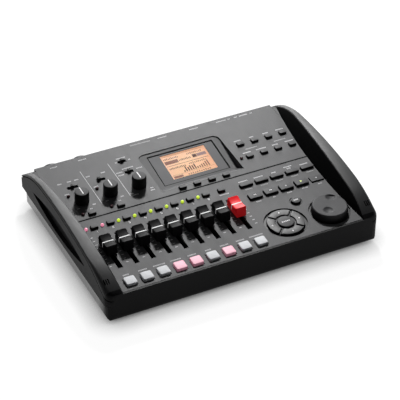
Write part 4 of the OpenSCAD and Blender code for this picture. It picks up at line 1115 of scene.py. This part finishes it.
# Labels as middle and length
LABELS = [
    (-101.5, 83, 7), (-74, 83, 8), (5, 83.8, 9), (37, 83.8, 9), (65, 83.8, 10), (73, 83.8, 2.5),
    (80, 83.8, 3.5), (88, 83.8, 8.5), (96, 83.8, 2.5), (-51.5, 52, 6), (-51.5, 48, 6), (-32.5, 51.5, 6),
    (-42, 55.5, 11), (-42, 71, 9), (-48.5, 66.3, 2), (-35.5, 66.3, 2), (-105.5, 42.5, 4.5),
    (-78, 42.5, 4.5), (-103.8, 20.6, 3), (-89, 20.8, 3), (-76.8, 20.6, 3), (-62.5, 20.8, 3),
    (-51, 18, 6), (-53.5, 20.5, 3), (-34.5, 18, 4), (-34, 21, 3), (-98.3, 16.3, 2.6), (-93.6, 16.3, 2.6),
    (-71.5, 16.3, 2.6), (-66.8, 16.3, 2.6), (88.5, -1.8, 8), (88.4, -4.5, 4), (19.5, -13.8, 9)]
LABELS += [(x, 58.5, 4) for x in (-106, -97, -90, -79, -64.5)]
LABELS += [(x, 50.6, w) for x, w in zip(UTILITY_X, (7, 4.5, 5.5, 8))]
LABELS += [(x, 31.6, w) for x, w in zip(UTILITY_X, (8, 10, 6, 8.5))]
LABELS += [(x, -4.2, w) for x, w in zip((*WIDE_X[:3], WIDE_X[4]), (9, 9, 4.5, 8))]
LABELS += [(x, -34.8, w) for x, w in zip(WIDE_X, (5, 2.5, 5, 5.5, 4))]
LABELS += [(x, -74.6, w) for x, w in zip(COLUMN_X, (5.5, 8, 11, 10, 8, 5.5, 8, 8, 13))]
FAINT_LABELS = [(-17, 83.8, 20), (72, 36.2, 12), (101, 36.2, 12)] + [(x, -16.0, 7) for x in WIDE_X]
LETTER, LETTER_PITCH = {"Length": 0.72, "Width": 1.4, "Height": 0.05}, 1.12
TICK = {"Length": 2.2, "Width": 0.8, "Height": 0.05}
TICKS = [(-109.0 + PITCH * i, -60.0 + 5.0 * k, 0.0) for i in range(10) for k in range(9)]
SEGMENTS = {"top": (-0.5, 1, 0.5, 1), "mid": (-0.5, 0, 0.5, 0), "low": (-0.5, -1, 0.5, -1),
            "a": (-0.5, 0, -0.5, 1), "b": (0.5, 0, 0.5, 1), "c": (-0.5, -1, -0.5, 0), "d": (0.5, -1, 0.5, 0)}
DIGITS = ("b d", "top b mid c low", "top b mid d low", "a mid b d", "top a mid d low", "top a mid c d low",
          "top b d", "top mid low a b c d")
DIGIT_Y, DIGIT_SIZE, STROKE_HW, NUMBER_T = -14.0, 1.1, 0.16, 0.025
DIVIDERS, DIVIDER_HW, DIVIDER_FRONT, DIVIDER_REAR = (-82.5, -55.7), 0.25, 18.0, 68.0


def letters(labels):
    """Places of the small blocks that stand in for the letters of each label."""
    sites = []
    for x, y, w in labels:
        count = max(2, round(w / LETTER_PITCH))
        sites += [(x + w * ((k + 0.5) / count - 0.5), y, 0.0) for k in range(count)]
    return sites


for name, sites, size, finish in (("labels", letters(LABELS), LETTER, PRINT_SOFT),
                                  ("faint_labels", letters(FAINT_LABELS), LETTER, PRINT_FAINT),
                                  ("level_ticks", TICKS, TICK, PRINT_SOFT)):
    settle(name, repeat(name, PANEL, sites, size, bar_stamp, finish), "recorder")

print_work = Piece("numbers_and_lines")
for x, strokes in zip(KEY_X, DIGITS):
    for stroke in strokes.split():
        x0, y0, x1, y1 = (DIGIT_SIZE * c for c in SEGMENTS[stroke])
        low, high = (x0 - STROKE_HW, y0 - STROKE_HW, 0.0), (x1 + STROKE_HW, y1 + STROKE_HW, NUMBER_T)
        print_work.box(on_panel(x, DIGIT_Y), low, high, PRINT_WHITE)
for x in DIVIDERS:
    low, high = (x - DIVIDER_HW, DIVIDER_FRONT, 0.0), (x + DIVIDER_HW, DIVIDER_REAR, NUMBER_T)
    print_work.box(PANEL, low, high, PRINT_SOFT)
print_work.done("recorder")


# Underside

COVER_RIB = {"Length": 22.0, "Width": 1.1, "Height": 0.5}
COVER_RIBS = [(0.0, -24.0 + 2.4 * k, 2.45) for k in range(6)]
UNTURNED = (0, 0, 0)
ribs = repeat("cover_ribs", WORLD, COVER_RIBS, COVER_RIB, bar_stamp, CASE_BLACK, UNTURNED)
settle("cover_ribs", ribs, "battery_cover")


# Floor, light and background, in metres and watts

GLOW_TOWARD = Vector((0.30, 0.78, 0.55)).normalized()
WORLD_BASE, WORLD_LOBE, LOBE_POWER = 0.05, 0.22, 3.0
STUDIO_LAMPS = (("rear_softbox", (0.294, 0.617, 0.69), (0.12, 0.10), 12.0),
                ("low_strip", (0.51, 1.27, 0.29), (1.0, 0.45), 10.0))
FLOOR_HALF, FLOOR_LIFT, FLOOR_FAR, FLOOR_SHOWN = 6, 0.92, 0.35, (0.13, 0.13, 0.13, 1.0)
CONTACT_REACH, CONTACT_POWER = 0.02, 1.0
FLOOR_CLOUD, BACKDROP_FADE = 60.0, 2.5
WHITE = (1, 1, 1, 1)


def shown_rays(look):
    """One for rays that show the background: seen, mirrored or through glass."""
    kinds = ("Is Camera Ray", "Is Glossy Ray", "Is Transmission Ray")
    seen, mirrored, through = (look.node("ShaderNodeLightPath", out=kind) for kind in kinds)
    return seen.at_least(mirrored).at_least(through)


def studio_floor():
    """Pale floor; where it shows, it is lifted to white but for the shade close to the object."""
    look = Look("studio_floor")
    shade = look.blend(look.noise(FLOOR_CLOUD), (0.84, 0.84, 0.845, 1.0), (0.86, 0.86, 0.865, 1.0))
    shown = shown_rays(look)
    matt = look.node("ShaderNodeBsdfDiffuse", None, {"Color": look.blend(shown, shade, FLOOR_SHOWN)})
    contact = look.node("ShaderNodeAmbientOcclusion", {"samples": 8}, {"Distance": CONTACT_REACH}, "AO")
    away = look.node("ShaderNodeVectorMath", {"operation": "LENGTH"}, {0: look.place}, "Value")
    lift = shown * contact ** CONTACT_POWER * (FLOOR_LIFT + away.share_of(FLOOR_FAR) * (1 - FLOOR_LIFT))
    glow = look.node("ShaderNodeEmission", None, {"Color": WHITE, "Strength": lift})
    look.close(look.node("ShaderNodeAddShader", None, {0: matt, 1: glow}))
    mesh = bpy.data.meshes.new("studio_floor")
    corners = [(-1, -1), (1, -1), (1, 1), (-1, 1)]
    mesh.from_pydata([(FLOOR_HALF * x, FLOOR_HALF * y, 0) for x, y in corners], [], [(0, 1, 2, 3)])
    mesh.materials.append(look.material)
    floor = bpy.data.objects.new("studio_floor", mesh)
    scene.collection.objects.link(floor)


def studio_world():
    """Dim dome, brightest behind the object.

    The camera sees white, and gloss a white backdrop that fades upwards.
    """
    look = Look("studio_world", bpy.data.worlds, "Generated")
    sockets = {0: look.place, 1: GLOW_TOWARD}
    toward = look.node("ShaderNodeVectorMath", {"operation": "DOT_PRODUCT"}, sockets, "Value")
    seen = look.node("ShaderNodeLightPath", out="Is Camera Ray")
    backdrop = (1.0 - look.part("Z").at_least(0.0)) ** BACKDROP_FADE * shown_rays(look)
    level = WORLD_BASE + WORLD_LOBE * toward.at_least(0.0) ** LOBE_POWER + backdrop
    dome = look.node("ShaderNodeBackground", None, {"Color": (0.98, 0.99, 1.0, 1.0), "Strength": level})
    white = look.node("ShaderNodeBackground", None, {"Color": WHITE, "Strength": 1.0})
    mixed = look.node("ShaderNodeMixShader", None, {0: seen, 1: dome, 2: white})
    scene.world = look.close(mixed, "ShaderNodeOutputWorld")


def studio_lamp(name, at, size, power):
    """Soft lamp behind the object on its right, turned towards it."""
    lamp = bpy.data.lights.new(name, "AREA")
    lamp.shape, lamp.energy = "RECTANGLE", power
    lamp.size, lamp.size_y = size
    holder = bpy.data.objects.new(name, lamp)
    holder.location = at
    holder.rotation_euler = Vector(at).to_track_quat("Z", "Y").to_euler()
    scene.collection.objects.link(holder)


studio_floor()
studio_world()
for lamp_facts in STUDIO_LAMPS:
    studio_lamp(*lamp_facts)
scene.view_settings.view_transform = "Standard"
